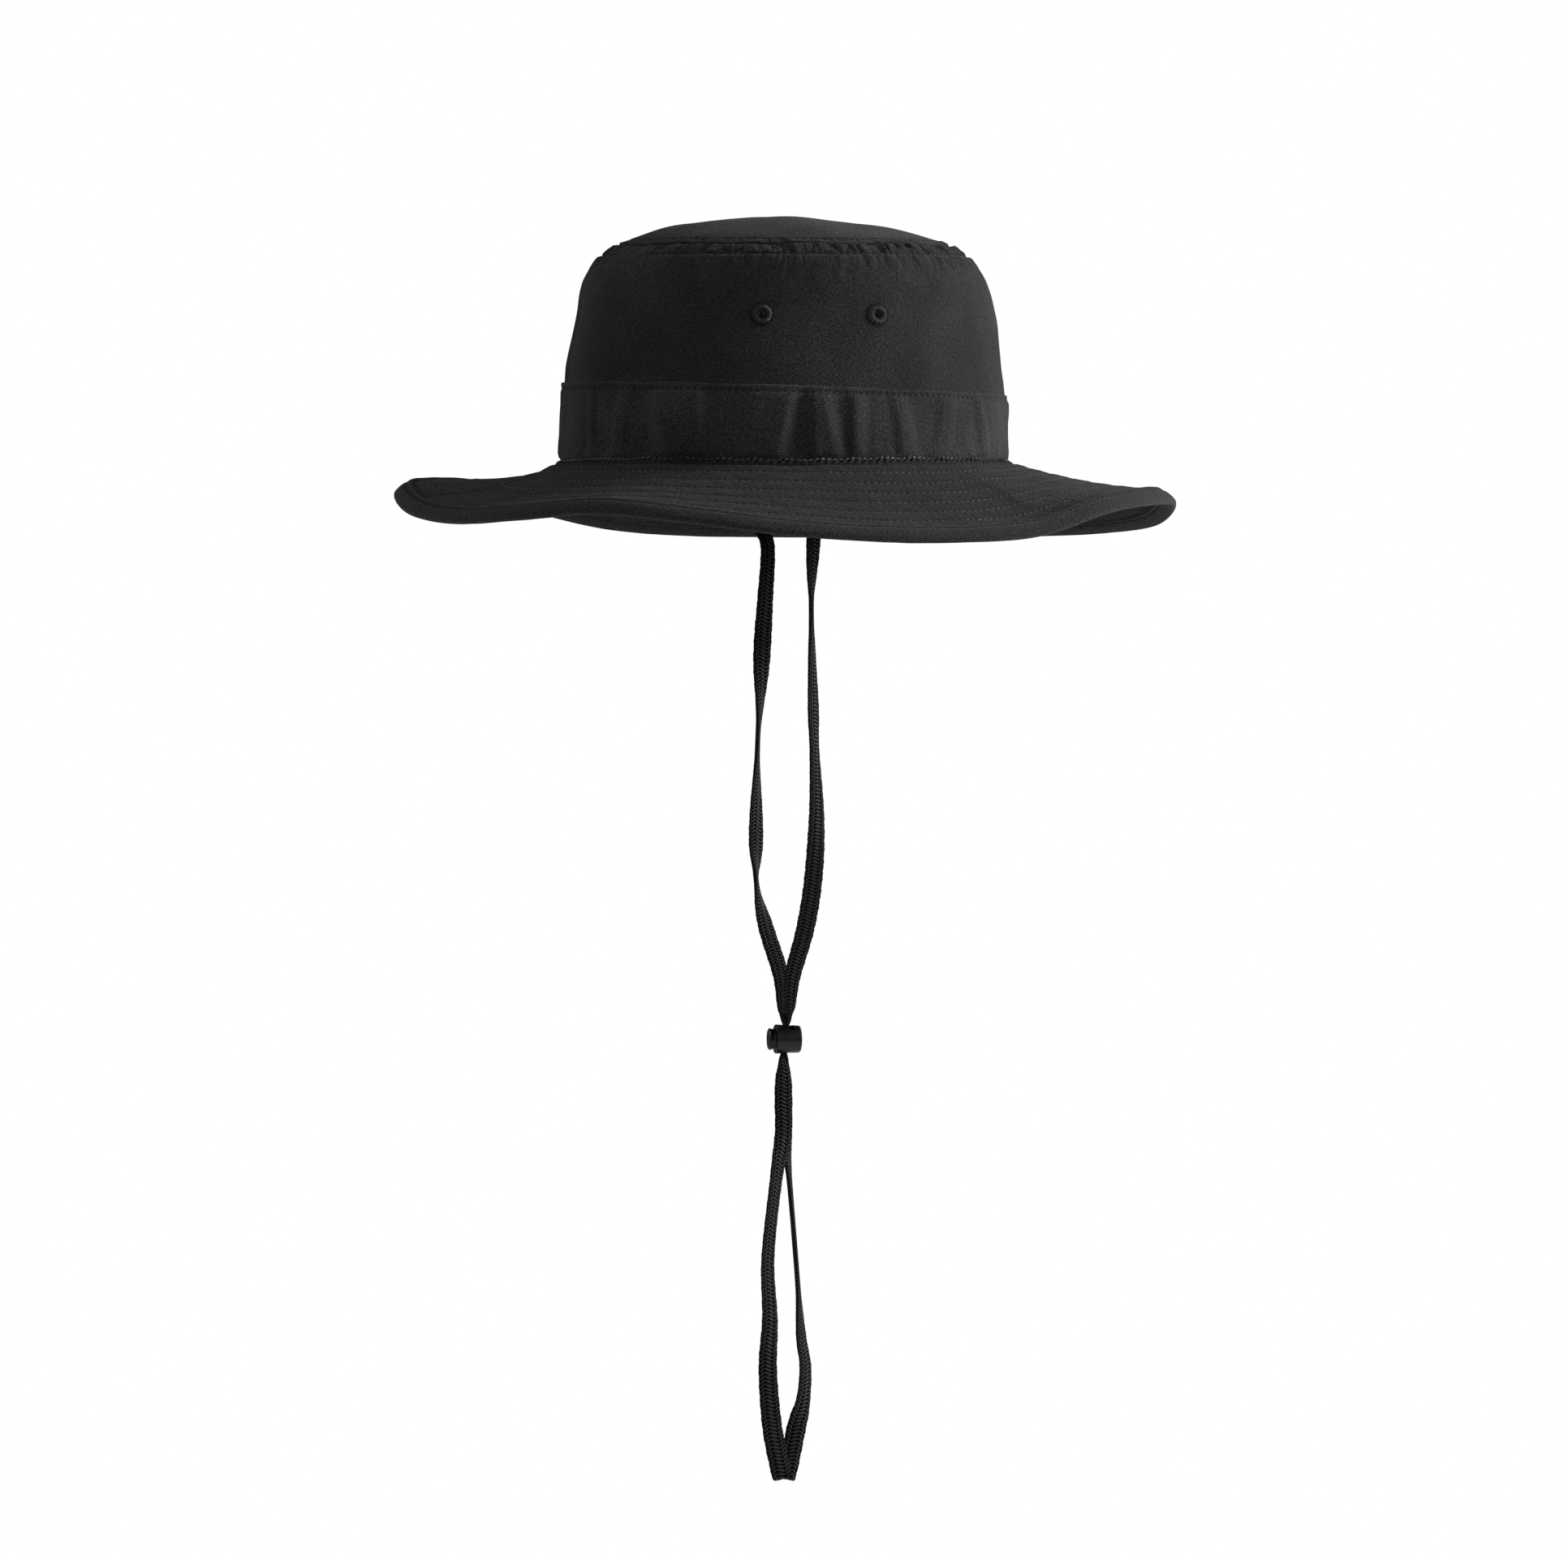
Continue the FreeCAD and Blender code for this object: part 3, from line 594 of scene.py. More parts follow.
# ---------------------------------------------------------------- crown

WALL_STEPS = 1400
WALL_SEAM_R = 95.0                                 # the wall's mean radius at its centre seams
EYELET_HOLE_R = 1.45
CUT_HOLE_R = 2.6                                   # the hole through the cloth, which the thread covers
BAND_ROW = 3.0                                     # the band's stitch row lies this far below its top edge


def wall_profile(fine):
    """Half length and height of the crown's wall at shares of the tip seam's height."""
    share, height = np.array(WALL_OUTLINE).T
    z = height * TIP_EDGE_Z
    a = share * (HALF_LENGTH - 0.1)
    return monotone(z, a, fine * TIP_EDGE_Z), fine * TIP_EDGE_Z


def monotone(x, y, at):
    """A smooth curve through points, by cubic pieces whose slopes never overshoot."""
    h = np.diff(x)
    slope = np.diff(y) / h
    tangent = np.concatenate([[slope[0]], (slope[1:] + slope[:-1]) / 2, [slope[-1]]])
    i = np.clip(np.searchsorted(x, at) - 1, 0, len(x) - 2)
    t = (at - x[i]) / h[i]
    a = 2 * t ** 3 - 3 * t ** 2 + 1
    b = t ** 3 - 2 * t ** 2 + t
    c = -2 * t ** 3 + 3 * t ** 2
    d = t ** 3 - t ** 2
    return a * y[i] + b * h[i] * tangent[i] + c * y[i + 1] + d * h[i] * tangent[i + 1]


def oval_grid(theta, a, z):
    """Rings of an oval: theta [n] by half length and height [m]."""
    x = np.cos(theta)[:, None] * a[None, :]
    y = np.sin(theta)[:, None] * a[None, :] * OVAL
    return np.stack([x, y, np.broadcast_to(z, x.shape)], -1)


def raise_grid(grid, lift, closed):
    return grid + normals_of(grid, closed) * lift[:, :, None]


LOWER_ROW = 5.0                                    # the wall's stitch row lies this far below the tip seam
TIP_ROW = 5.0                                      # and the tip's own row this far inside it
TIP_PAINTED_SHADE = 0.09                                    # painted shade laid evenly over the tip, that makes its cloth duller than the wall's
TIP_HALF_LENGTH = WALL_OUTLINE[-1][0] * HALF_LENGTH


def gathers(theta, across, cells, seed):
    """Small pleats of uneven size across a seam, in fuller and flatter stretches, and the painted shade of
    their creases.
    """
    u = theta[:, None] / math.tau
    lean = 0.002 * np.sin(across * 0.5 + 9 * noise(u, u * 0, 30, 1, seed + 1))
    fine = puffs(u + lean, across / 40, cells, 5, seed)
    broad = puffs(u + 0.002 * across / 5, across / 60, cells // 2, 6, seed + 2)
    tiny = puffs(u - lean, across / 30, cells * 2 + 20, 6, seed + 4)
    fullness = np.clip(0.8 + 0.55 * noise(u, u * 0, 17, 1, seed + 3), 0.4, 1.15)
    crease_shade = bump(fine, 0, 0.2) + 0.6 * bump(broad, 0, 0.12) + 0.4 * bump(tiny, 0, 0.15)
    pleats = (fine * 1.35 + broad * 0.8 + tiny * 0.5) * fullness
    return pleats, np.clip(crease_shade, 0, 1) * np.clip(fullness, 0, 1)


EYELET_NODES = ["eyelet_left_front", "eyelet_left_rear", "eyelet_right_front", "eyelet_right_rear"]
EYELET_SPOTS = [(box(node)[0] + box(node)[1]) / 2 for node in EYELET_NODES]
EYELET_R = (box("eyelet_left_front")[1][2] - box("eyelet_left_front")[0][2]) / 2


def from_eyelets(theta, z):
    """The distance of each place on the wall from the nearest eyelet."""
    nearest_one = np.full((len(theta), len(z)), 100.0)
    for spot in EYELET_SPOTS:
        angle = math.atan2(spot[1] / OVAL, spot[0])
        arc = ((theta - angle + math.pi) % math.tau - math.pi)[:, None] * MEAN_R
        nearest_one = np.minimum(nearest_one, np.hypot(arc, z[None, :] - spot[2]))
    return nearest_one


def flat_at_eyelets(theta, z):
    """0 on the wall round each eyelet, where the thread holds the cloth flat, and 1 away from them."""
    return 1 - bump(from_eyelets(theta, z), 0, 9)


def ring_shadow(theta, z):
    """Painted shadow: the dark line on the cloth round each eyelet, where the thread bites into it."""
    return bump(from_eyelets(theta, z), EYELET_R + 0.3, 0.7)


def wander(theta):
    """How far the tip seam strays up and down on its way round."""
    u = theta[:, None] / math.tau
    return 0.5 * noise(u, u * 0, 37, 1, 81) + 0.35 * noise(u, u * 0, 90, 1, 82)


def wall_lift(theta, z):
    """Gathers under the tip seam, slow waves and the pull of the centre seams; and the creases' shade."""
    u = theta[:, None] / math.tau
    v = z[None, :] / TIP_EDGE_Z
    below = TIP_EDGE_Z - z[None, :]
    gather, crease_shade = gathers(theta, below, 140, 3)
    in_seam = smoothstep(below / 1.0) * (1 - smoothstep((below - 4.0) / 1.0))
    under_row = smoothstep((below - 5.0) / 1.2) * np.exp(-np.maximum(below - 5.5, 0) / 7.5)
    lift = (gather * 1.1 - 0.9) * in_seam + (0.8 * gather - 0.4) * under_row
    lift -= 0.3 * bump(below, LOWER_ROW, 0.6) + 0.5 * bump(below, 0.0, 0.7)
    slow = noise(u, v, 11, 3, 5) * 1.1 + noise(u + 0.02 * v, v, 26, 5, 6) * 0.45
    slow = slow + noise(u - 0.03 * v, v, 60, 9, 7) * 0.16
    free = smoothstep((below - 5) / 25) * smoothstep((z[None, :] - 36) / 12) * flat_at_eyelets(theta, z)
    lift += slow * free
    arc = from_centre_seams(theta) * WALL_SEAM_R
    lift += 0.2 * bump(arc, 2.4, 1.1) - 0.4 * bump(arc, 0, 0.7)
    return lift, crease_shade * (0.8 * in_seam + 0.6 * under_row)


def make_wall():
    theta_all = np.linspace(0, math.tau, WALL_STEPS + 1)
    a, z = wall_profile(stops_near([1 - LOWER_ROW / TIP_EDGE_Z], 0, 1, 0.006, TIP_EDGE_Z))
    keep = z > BAND_TOP - BAND_SLANT - 3
    a, z = a[keep], z[keep]
    below = TIP_EDGE_Z - z[None, :]
    rows = []
    for first, word in ((0, "left"), (WALL_STEPS // 2, "right")):
        theta = theta_all[first:first + WALL_STEPS // 2 + 1]
        lift, crease_shade = wall_lift(theta, z)
        grid = raise_grid(oval_grid(theta, a, z), lift, False)
        grid[:, :, 2] += wander(theta) * np.exp(-below / 3.5)
        normal = normals_of(grid, False)
        line = nearest(z, TIP_EDGE_Z - LOWER_ROW)
        rows.append(row_on(grid, normal, line))
        holes = needle_holes(grid[:, line])[:, None]
        # Painted shade: the lower row's needle holes, the tip seam's groove, the gathers' creases and a dark
        # ring round each eyelet.
        shade = bump(below, LOWER_ROW, 0.5) * (0.35 + 0.65 * holes) + 0.6 * bump(below, 0, 0.6) + crease_shade
        shade = shade + 0.75 * ring_shadow(theta, z)
        panel = cloth("crown_wall_" + word, grid, LOOKS["crown_cloth"], shade=shade)
        remove_faces_near(panel, EYELET_SPOTS, CUT_HOLE_R)
        dress(panel, "hat", "crown_cloth", "crown_side_" + word)
    sew("stitches_tip_seam_lower", rows, SHADED_THREAD, "crown_cloth", seed=2)


def remove_faces_near(obj, spots, radius):
    """Opens round holes in a cloth mesh."""
    mesh = obj.data
    points = np.empty(len(mesh.vertices) * 3, np.float32)
    mesh.vertices.foreach_get("co", points)
    points = points.reshape(-1, 3) / MM
    gone = np.zeros(len(points), bool)
    for spot in spots:
        gone |= np.linalg.norm(points - spot, axis=1) < radius
    work = bmesh.new()
    work.from_mesh(mesh)
    work.verts.ensure_lookup_table()
    bmesh.ops.delete(work, geom=[work.verts[i] for i in np.nonzero(gone)[0]], context="VERTS")
    work.to_mesh(mesh)
    work.free()


def dome(share):
    """The tip's height at shares of its half length."""
    return TIP_EDGE_Z + (CROWN_TOP - TIP_EDGE_Z) * (1 - share ** TIP_FULLNESS)


def make_tip():
    """The domed oval top, gathered a little into its seam, with a stitch row inside the seam."""
    theta = round_the_head(WALL_STEPS)
    edge = TIP_HALF_LENGTH
    share = 1 - stops_near([TIP_ROW / edge], 0, 1, 0.014, edge)
    a = edge * share
    grid = oval_grid(theta, a, dome(share))
    grid[:, :, 2] += TIP_LEAN * grid[:, :, 0] * (1 - share ** 2)
    inside = (edge - a)[None, :]
    grid[:, :, 2] += wander(theta) * np.exp(-inside / 3.5)
    gather, crease_shade = gathers(theta, inside, 130, 11)
    in_seam = smoothstep(inside / 0.8) * np.exp(-np.maximum(inside - 4.2, 0) / 1.8)
    lift = (0.6 * gather - 0.45) * in_seam
    lift -= 0.3 * bump(inside, TIP_ROW, 0.5) + 0.35 * bump(inside, 0, 0.7)
    x, y = grid[:, :, 0] / edge, grid[:, :, 1] / edge
    ripple = 0.5 * np.sin(3.1 * x + 4.3 * y + 0.6) * np.sin(5.2 * y - 2.4 * x) + 0.3 * np.sin(7.3 * x + 1.1)
    ripple = ripple + 0.35 * np.sin(11.3 * x - 6.1 * y) * np.sin(9.2 * y + 2.0)
    lift += ripple * smoothstep((inside - 6) / 22)
    grid = raise_grid(grid, lift * (share[None, :] > 0.02), True)
    uv = np.concatenate([grid, grid[:1]])[:, :, :2] / 10
    row = closed_row(grid, normals_of(grid, True), nearest(inside[0], TIP_ROW))
    holes = needle_holes(row[0])[:-1, None]
    # Painted shade: the tip row's needle holes, the seam's groove, the gathers' creases, and a flat amount
    # over the whole tip to dull it.
    shade = bump(inside, TIP_ROW, 0.6) * (0.2 + 0.7 * holes) + 0.6 * bump(inside, 0, 0.6)
    shade = shade + 0.6 * crease_shade * in_seam + TIP_PAINTED_SHADE
    tip = cloth("crown_tip_cloth", grid, LOOKS["crown_cloth"], closed=True, uv=uv, shade=shade)
    dress(tip, "hat", "crown_cloth", "crown_tip")
    sew("stitches_tip", [row], SHADED_THREAD, "crown_cloth", seed=3)


# Puffed folds of the band near the left ear: degrees round the head of each fold's two flanks at the band's
# top, the same at its bottom, the widths of the flanks in millimetres, and the fold's height.
BAND_FOLDS = [
    ((46, 60), (48, 62), (14, 6.2), 5.0), ((72, 84.5), (67, 80.5), (13, 6.5), 3.6),
    ((87.3, 92), (87.3, 96), (5.6, 7.6), 2.7), ((97.6, 101.5), (97.6, 101.5), (5.2, 7), 2.2),
    ((109, 113), (112, 117), (5, 7), 1.4), ((125, 131), (122, 127), (6, 7), 1.3),
    ((139, 142), (141, 146), (5, 6), 1.1), ((34, 39), (32, 36), (6, 5), 1.1),
    ((20, 23), (21, 24), (5, 4), 0.8),
]


def band_lift(theta, z):
    """The band's folds, slow waves, the gathers above the base seam and the joint at the back."""
    u = theta[:, None] / math.tau
    height = z[None, :] / BAND_TOP
    lift = np.zeros((len(theta), len(z)))
    degrees = np.degrees(theta)[:, None]
    per_degree = math.radians(MEAN_R)
    for top, bottom, widths, rise in BAND_FOLDS:
        sides = []
        for at_top, at_bottom, width in zip(top, bottom, widths):
            flank = at_bottom + (at_top - at_bottom) * height
            sides.append(smoothstep((degrees - flank) * per_degree / width + 0.5))
        lift += rise * (sides[0] - sides[1]) * (0.55 + 0.45 * np.sin(math.pi * np.clip(height, 0.1, 0.9)))
    away = 1 - 0.75 * bump(theta[:, None], LEFT_EAR, math.radians(34))
    slow = noise(u + 0.012 * height, height, 40, 2, 21) * 0.8
    slow = slow + noise(u - 0.02 * height, height, 17, 2, 22) * 0.9
    lift += away * slow + noise(u, height, 90, 4, 24) * 0.18
    low = np.exp(-np.maximum(z[None, :] - 2.5, 0) / 5.5)
    lift += low * (gathers(theta, z[None, :], 110, 23)[0] * 0.75 - 0.3)
    top = BAND_TOP - z[None, :]
    lift *= smoothstep((z[None, :] - 0.5) / 4.0) * smoothstep((top - 1.0) / 4.5) * 0.85 + 0.15
    lift += 0.35 * bump(top, 1.0, 1.0) - 0.3 * bump(top, BAND_ROW, 0.6) - 0.8 * (1 - smoothstep(top / 0.8))
    lift -= 0.9 * (1 - smoothstep((z[None, :] - 0.4) / 2.2))
    back = np.abs(theta[:, None] - math.pi) * MEAN_R
    return lift + 0.45 * bump(back, 1.2, 0.9) - 0.3 * bump(back, 0, 0.5)


def make_band():
    """The lower band, a strip joined at the back, with soft upright folds."""
    theta = round_the_head(WALL_STEPS)
    a, z = wall_profile(stops_near([(BAND_TOP - BAND_ROW) / TIP_EDGE_Z, 0.012], 0, 0.37, 0.007, TIP_EDGE_Z))
    keep = z <= BAND_TOP + 0.2
    a, z = a[keep] + BAND_STEP, z[keep]
    z = np.maximum(z, 0.3)
    a = a - BAND_STEP * 0.9 * (1 - smoothstep((BAND_TOP + 0.2 - z) / 0.9))
    grid = oval_grid(theta, a, z)
    grid[:, :, 2] *= 1 + BAND_SLANT / BAND_TOP * np.cos(theta)[:, None]
    grid[:, :, 2] += seam_dip(theta) * np.clip(1 - z / BAND_TOP, 0, 1) ** 2
    grid = raise_grid(grid, band_lift(theta, z), True)
    row = closed_row(grid, normals_of(grid, True), nearest(z, BAND_TOP - BAND_ROW))
    holes = needle_holes(row[0])[:-1, None]
    # Painted shade: the band row's needle holes and a darker foot where the band meets the brim.
    shade = bump(z[None, :], BAND_TOP - BAND_ROW, 0.6) * (0.4 + 0.6 * holes)
    shade = shade + 0.55 * (1 - smoothstep((z[None, :] - 0.6) / 1.4))
    strip = cloth("crown_band_cloth", grid, LOOKS["band_cloth"], closed=True, shade=shade)
    dress(strip, "hat", "band_cloth", "crown_band")
    sew("stitches_band", [row], SHADED_THREAD, "band_cloth", radius=0.22, height=0.16, seed=4)


# ---------------------------------------------------------------- eyelets


def make_eyelets():
    """Each eyelet is a padded ring of thread, wound over the cloth's edge on both faces."""
    middle, half = (EYELET_R * 1.04 + EYELET_HOLE_R) / 2, (EYELET_R * 1.04 - EYELET_HOLE_R) / 2
    turn = round_the_head(288)[:, None]
    slice_angle = round_the_head(22)[None, :]
    threads = np.abs(np.sin(turn * 20 + 0.5 * np.sin(3 * turn))) ** 0.8
    for node, spot in zip(EYELET_NODES, EYELET_SPOTS):
        out = unit(np.array([spot[0] / HALF_LENGTH ** 2, spot[1] / HALF_WIDTH ** 2, 0]))
        out = unit(out + np.array([0, 0, 0.22]))
        right = unit(np.cross([0, 0, 1], out))
        radial = np.cos(turn)[..., None] * right + np.sin(turn)[..., None] * np.cross(out, right)
        ragged = 1 + 0.05 * np.sin(turn * 7 + spot[0]) + 0.04 * np.sin(turn * 13)
        r = middle + (half * ragged + 0.24 * threads) * np.cos(slice_angle)
        w = (1.75 + 0.26 * threads) * rounded(np.sin(slice_angle), 1.15)
        grid = spot + r[..., None] * radial + w[..., None] * out
        grid = np.concatenate([grid, grid[:, :1]], 1)
        n, m = grid.shape[:2]
        quads, places = grid_quads(n, m, True)
        uvs = places / np.array([n, m]) * 3
        # Painted shade: dark in the valleys between the wound threads.
        valley_shade = np.clip(1.1 - 1.5 * threads + 0.3 * np.sin(turn * 11), 0, 1) * np.ones((1, m))
        ring = mesh_object(node + "_ring", grid.reshape(-1, 3), quads, uvs, LOOKS["eyelet_thread"], valley_shade)
        dress(ring, "hat", "eyelet_thread", node)


# ---------------------------------------------------------------- brim


def brim_drop(theta):
    """How far the brim has fallen at the binding, on a smooth closed curve."""
    place = (theta - BRIM_FIRST_ANGLE) / (math.tau / len(BRIM_DROPS))
    i = np.floor(place).astype(int)
    t = place - i
    drops = np.array(BRIM_DROPS)
    a, b, c, d = (drops[(i + k) % len(drops)] for k in (-1, 0, 1, 2))
    return through(a, b, c, d, t)


def seam_dip(theta):
    """How far the seam between crown and brim sags beside each ear."""
    return -SEAM_SAG * (bump(theta, LEFT_EAR, 0.42) + bump(theta, RIGHT_EAR, 0.42))[:, None]


def swell(theta, middle_degrees):
    """1 at one angle round the head, falling smoothly to 0 on either side."""
    return np.exp((np.cos(theta - math.radians(middle_degrees)) - 1) / 0.16)


def brim_grid(theta, s, lift):
    """Points of the brim for angles [n] and cloth lengths [m], raised off its middle by lift [n, m]."""
    drop = brim_drop(theta)[:, None] - SEAM_KINK * SEAM_KINK_LENGTH
    root = BRIM_ROOT_SLOPE - BRIM_BACK_EASE * swell(theta, 168) - BRIM_FRONT_EASE * swell(theta, 335)
    reach = 1 + BRIM_BACK_REACH * swell(theta, 192) + BRIM_FRONT_REACH * swell(theta, 350)
    curve = np.maximum(root[:, None] * BRIM_FLAT / drop, BRIM_LEAST_CURVE)
    fine = np.linspace(0, BRIM_FLAT + BRIM_RIM, 400)
    ahead = np.clip(1 - fine[None, :] / BRIM_FLAT, 0, 1)
    sine = curve * drop / BRIM_FLAT * ahead ** (curve - 1)
    slope = np.arcsin(sine + SEAM_KINK * np.exp(-fine[None, :] / SEAM_KINK_LENGTH))
    slope = slope + RIM_TURN * smoothstep((fine[None, :] - BRIM_FLAT + 0.5) / RIM_BEND)
    step = fine[1] - fine[0]
    start = np.zeros((len(theta), 1))
    run = np.concatenate([start, np.cumsum(np.cos(slope)[:, :-1] * step, 1)], 1)
    fall = np.concatenate([start, np.cumsum(np.sin(slope)[:, :-1] * step, 1)], 1)
    place = np.clip(s / step, 0, len(fine) - 1.001)
    i = place.astype(int)
    t = place - i
    r, z, tilt = (table[:, i] * (1 - t) + table[:, i + 1] * t for table in (run, -fall, slope))
    extra = np.minimum(s, 0)
    r = r * reach[:, None] + extra * np.cos(tilt) + lift * np.sin(tilt)
    z = z - extra * np.sin(tilt) + lift * np.cos(tilt)
    out = unit(np.stack([np.cos(theta) / BRIM_BASE[0], np.sin(theta) / BRIM_BASE[1]], 1))
    x = BRIM_BASE[0] * np.cos(theta)[:, None] + r * out[:, :1]
    y = BRIM_BASE[1] * np.sin(theta)[:, None] + r * out[:, 1:]
    return np.stack([x, y, z + seam_dip(theta) * np.exp(-np.maximum(s, 0) / 12)], -1)


def quilting(theta, s, seed):
    """Puffed ridges between the stitch rows, drawn in sharply at each row and a little puckered along it."""
    u = theta[:, None] / math.tau
    v = s[None, :] / BRIM_FLAT
    row = s[None, :] / ROW_STEP
    ridge = np.abs(np.sin(math.pi * np.clip(row, 0, BRIM_ROWS + 1))) ** 0.5
    near = ROW_STEP * np.abs(row - np.clip(np.round(row), 1, BRIM_ROWS))
    pucker = noise(u + 0.001 * np.sin(row * 9), v, 260, 28, seed) * 0.15
    wide = noise(u, v, 48, 6, seed + 1) * 0.3
    flat = smoothstep(s[None, :] / 4)
    return (ridge * 0.26 - 0.16 + pucker * (0.35 + ridge) + wide - 0.16 * bump(near, 0, 0.6)) * flat


def edge_shade_strength(theta):
    """How strong the painted shade along the binding's inner edge is, where the edge stands open: fully at
    the front and back, hardly beside the ears.
    """
    return 0.2 + 0.8 * np.cos(theta)[:, None] ** 4


def row_shade(grid, theta, s):
    """Painted shade in the needle holes and grooves along the brim's stitch rows, and a painted dark line by
    the binding.
    """
    shade = np.zeros(grid.shape[:2])
    for place in BRIM_ROW_PLACES:
        holes = needle_holes(grid[:, nearest(s, place)])[:, None]
        shade += bump(s[None, :], place, 0.5) * (0.1 + 0.9 * holes)
    return shade + 0.9 * bump(s[None, :], BRIM_FLAT - 1.7, 0.7) * edge_shade_strength(theta)


def front_and_back_seam(theta, s):
    """The ridge of the seams that join the brim's two halves."""
    arc = from_centre_seams(theta) * (HALF_LENGTH + s[None, :])
    return 0.3 * bump(arc, 1.3, 1.1) - 0.1 * bump(arc, 0, 0.5)


BRIM_STEPS = 2000
BRIM_SPAN = BRIM_FLAT + 3.5                        # the cloth runs this far in under the binding
FELT_START = 6.0                                   # the stiffener keeps clear of the base seam
SEAM_PITCH = 3.2                                   # the base seam's rope-like stitches
BASE_LINE = -0.2


def brim_rows(grid, normals, s):
    return [row_on(grid, normals, nearest(s, place)) for place in BRIM_ROW_PLACES]


def make_brim_top(theta, word):
    """The upper cloth of one half, rolled and roped at the base seam; returns its rows and the seam's row."""
    s = np.concatenate([np.linspace(-1.6, 4.4, 21)[:-1], stops_near(BRIM_ROW_PLACES, 4.4, BRIM_SPAN)])
    root = np.sin(math.pi * np.clip((s + 1.6) / 4.2, 0, 1))[None, :]
    root = root * (0.35 + 0.65 * np.abs(np.sin(theta)) ** 0.5)[:, None]
    lift = BRIM_HALF_THICKNESS + quilting(theta, s, 31) + front_and_back_seam(theta, s)
    lift = lift - 0.45 * (1 - smoothstep((s[None, :] - 2.2) / 3.0)) + 1.3 * root ** 0.8
    slanted = theta[:, None] * MEAN_R + s[None, :] * 0.8
    rope = np.sin(slanted * math.tau / SEAM_PITCH) * root
    lift = lift + 0.5 * rope - 1.3 * (1 - smoothstep((s + 1) / 7)) * np.cos(theta)[:, None] ** 2
    grid = brim_grid(theta, s, lift)
    # Painted shade: the stitch rows, a dark line below the base seam and the valleys between the rope's ribs.
    shade = row_shade(grid, theta, s) + 0.7 * bump(s[None, :], 3.0, 0.5) + np.clip(-rope, 0, 1)
    top = cloth("brim_top_cloth_" + word, grid, LOOKS["brim_cloth"], BRIM_CLOTH, flip=True, shade=shade)
    dress(top, "hat", "brim_cloth", "brim_top_" + word)
    normals = -normals_of(grid, False)
    return brim_rows(grid, normals, s), row_on(grid, normals, nearest(s, BASE_LINE))


def make_brim_under(theta, word):
    """The lower cloth of one half, and the felt between the two; returns the cloth's rows."""
    s = stops_near(BRIM_ROW_PLACES, 0.0, BRIM_SPAN)
    lift = -BRIM_HALF_THICKNESS - quilting(theta, s, 35) - front_and_back_seam(theta, s)
    grid = brim_grid(theta, s, lift)
    shade = row_shade(grid, theta, s)
    under = cloth("brim_under_cloth_" + word, grid, LOOKS["under_cloth"], BRIM_CLOTH, shade=shade)
    dress(under, "hat", "under_cloth", "brim_under_" + word)
    s_felt = s[s > FELT_START]
    middle = brim_grid(theta, s_felt, np.full((len(theta), len(s_felt)), CLOTH / 2))
    felt = cloth("brim_stiffener_felt_" + word, middle, LOOKS["stiffener_felt"], flip=True)
    dress(felt, "hat", "stiffener_felt", "brim_stiffener_" + word)
    return brim_rows(grid, normals_of(grid, False), s)


def make_brim():
    """Both halves of the brim and the stitches that quilt it and join it to the crown."""
    rows_top, rows_under, seam = [], [], []
    for first, word in ((0.0, "left"), (math.pi, "right")):
        theta = first + np.linspace(0, math.pi, BRIM_STEPS // 2 + 1)
        rows, base = make_brim_top(theta, word)
        rows_top += rows
        seam.append(base)
        rows_under += make_brim_under(theta, word)
    sew("stitches_brim_top", rows_top, SEWING_THREAD, "brim_cloth", share=0.62, radius=0.26, height=0.16,
        seed=5)
    sew("stitches_brim_under", rows_under, SHADED_THREAD, "under_cloth", radius=0.24, height=0.16, seed=6)
    sew("stitches_base_seam", seam, LIT_SEAM_THREAD, "brim_cloth", pitch=SEAM_PITCH, share=0.6, radius=0.44,
        height=0.55, lean=-0.5, seed=7)


BINDING_ROW = 1.9                                  # the binding's stitch row, inside its inner edge


def make_binding():
    """A soft tape folded round the brim's edge, with a small ridge along its inner edge."""
    theta = round_the_head(BRIM_STEPS)
    far = BRIM_FLAT + BRIM_RIM
    over = np.linspace(BRIM_FLAT - 1.0, far - BINDING_LIFT, 34)
    turn = np.linspace(0, math.pi, 15)[1:-1]
    s = np.concatenate([over, far - BINDING_LIFT + BINDING_LIFT * np.sin(turn), over[::-1]])
    side = np.concatenate([np.ones(len(over)), np.cos(turn), -np.ones(len(over))])
    u = theta[:, None] / math.tau
    inner = s[None, :] - BRIM_FLAT
    puff = 0.5 * np.sin(math.pi * np.clip((inner - 1.8) / (BRIM_RIM - 1.8), 0, 1)) ** 0.8
    ridge = 0.38 * bump(inner, 0.3, 0.7) - 0.3 * bump(inner, BINDING_ROW, 0.6)
    ridge = ridge - 0.7 * (1 - smoothstep((inner + 1.0) / 1.0))
    soft = noise(u, inner * 0 + 0.5, 150, 1, 41) * 0.12 + noise(u, inner * 0 + 0.5, 40, 1, 42) * 0.2
    lift = side[None, :] * (BINDING_LIFT + puff + ridge + soft)
    grid = brim_grid(theta, s, lift)
    # Painted shade along the binding's stitch row and its inner edge, strongest at the front and back.
    shade = (bump(inner, BINDING_ROW, 0.65) + bump(inner, -1.0, 0.7)) * edge_shade_strength(theta)
    tape = cloth("brim_binding_tape", grid, LOOKS["binding_tape"], BRIM_CLOTH, True, flip=True, shade=shade)
    dress(tape, "hat", "binding_tape", "brim_binding")
    normals = -normals_of(grid, True)
    line = nearest(over, BRIM_FLAT + BINDING_ROW)
    rows = [closed_row(grid, normals, j) for j in (line, len(s) - 1 - line)]
    sew("stitches_binding", rows, SHADED_THREAD, "binding_tape", height=0.1, seed=8)


# ---------------------------------------------------------------- inside the crown

SWEATBAND = 0.8                                    # its thickness

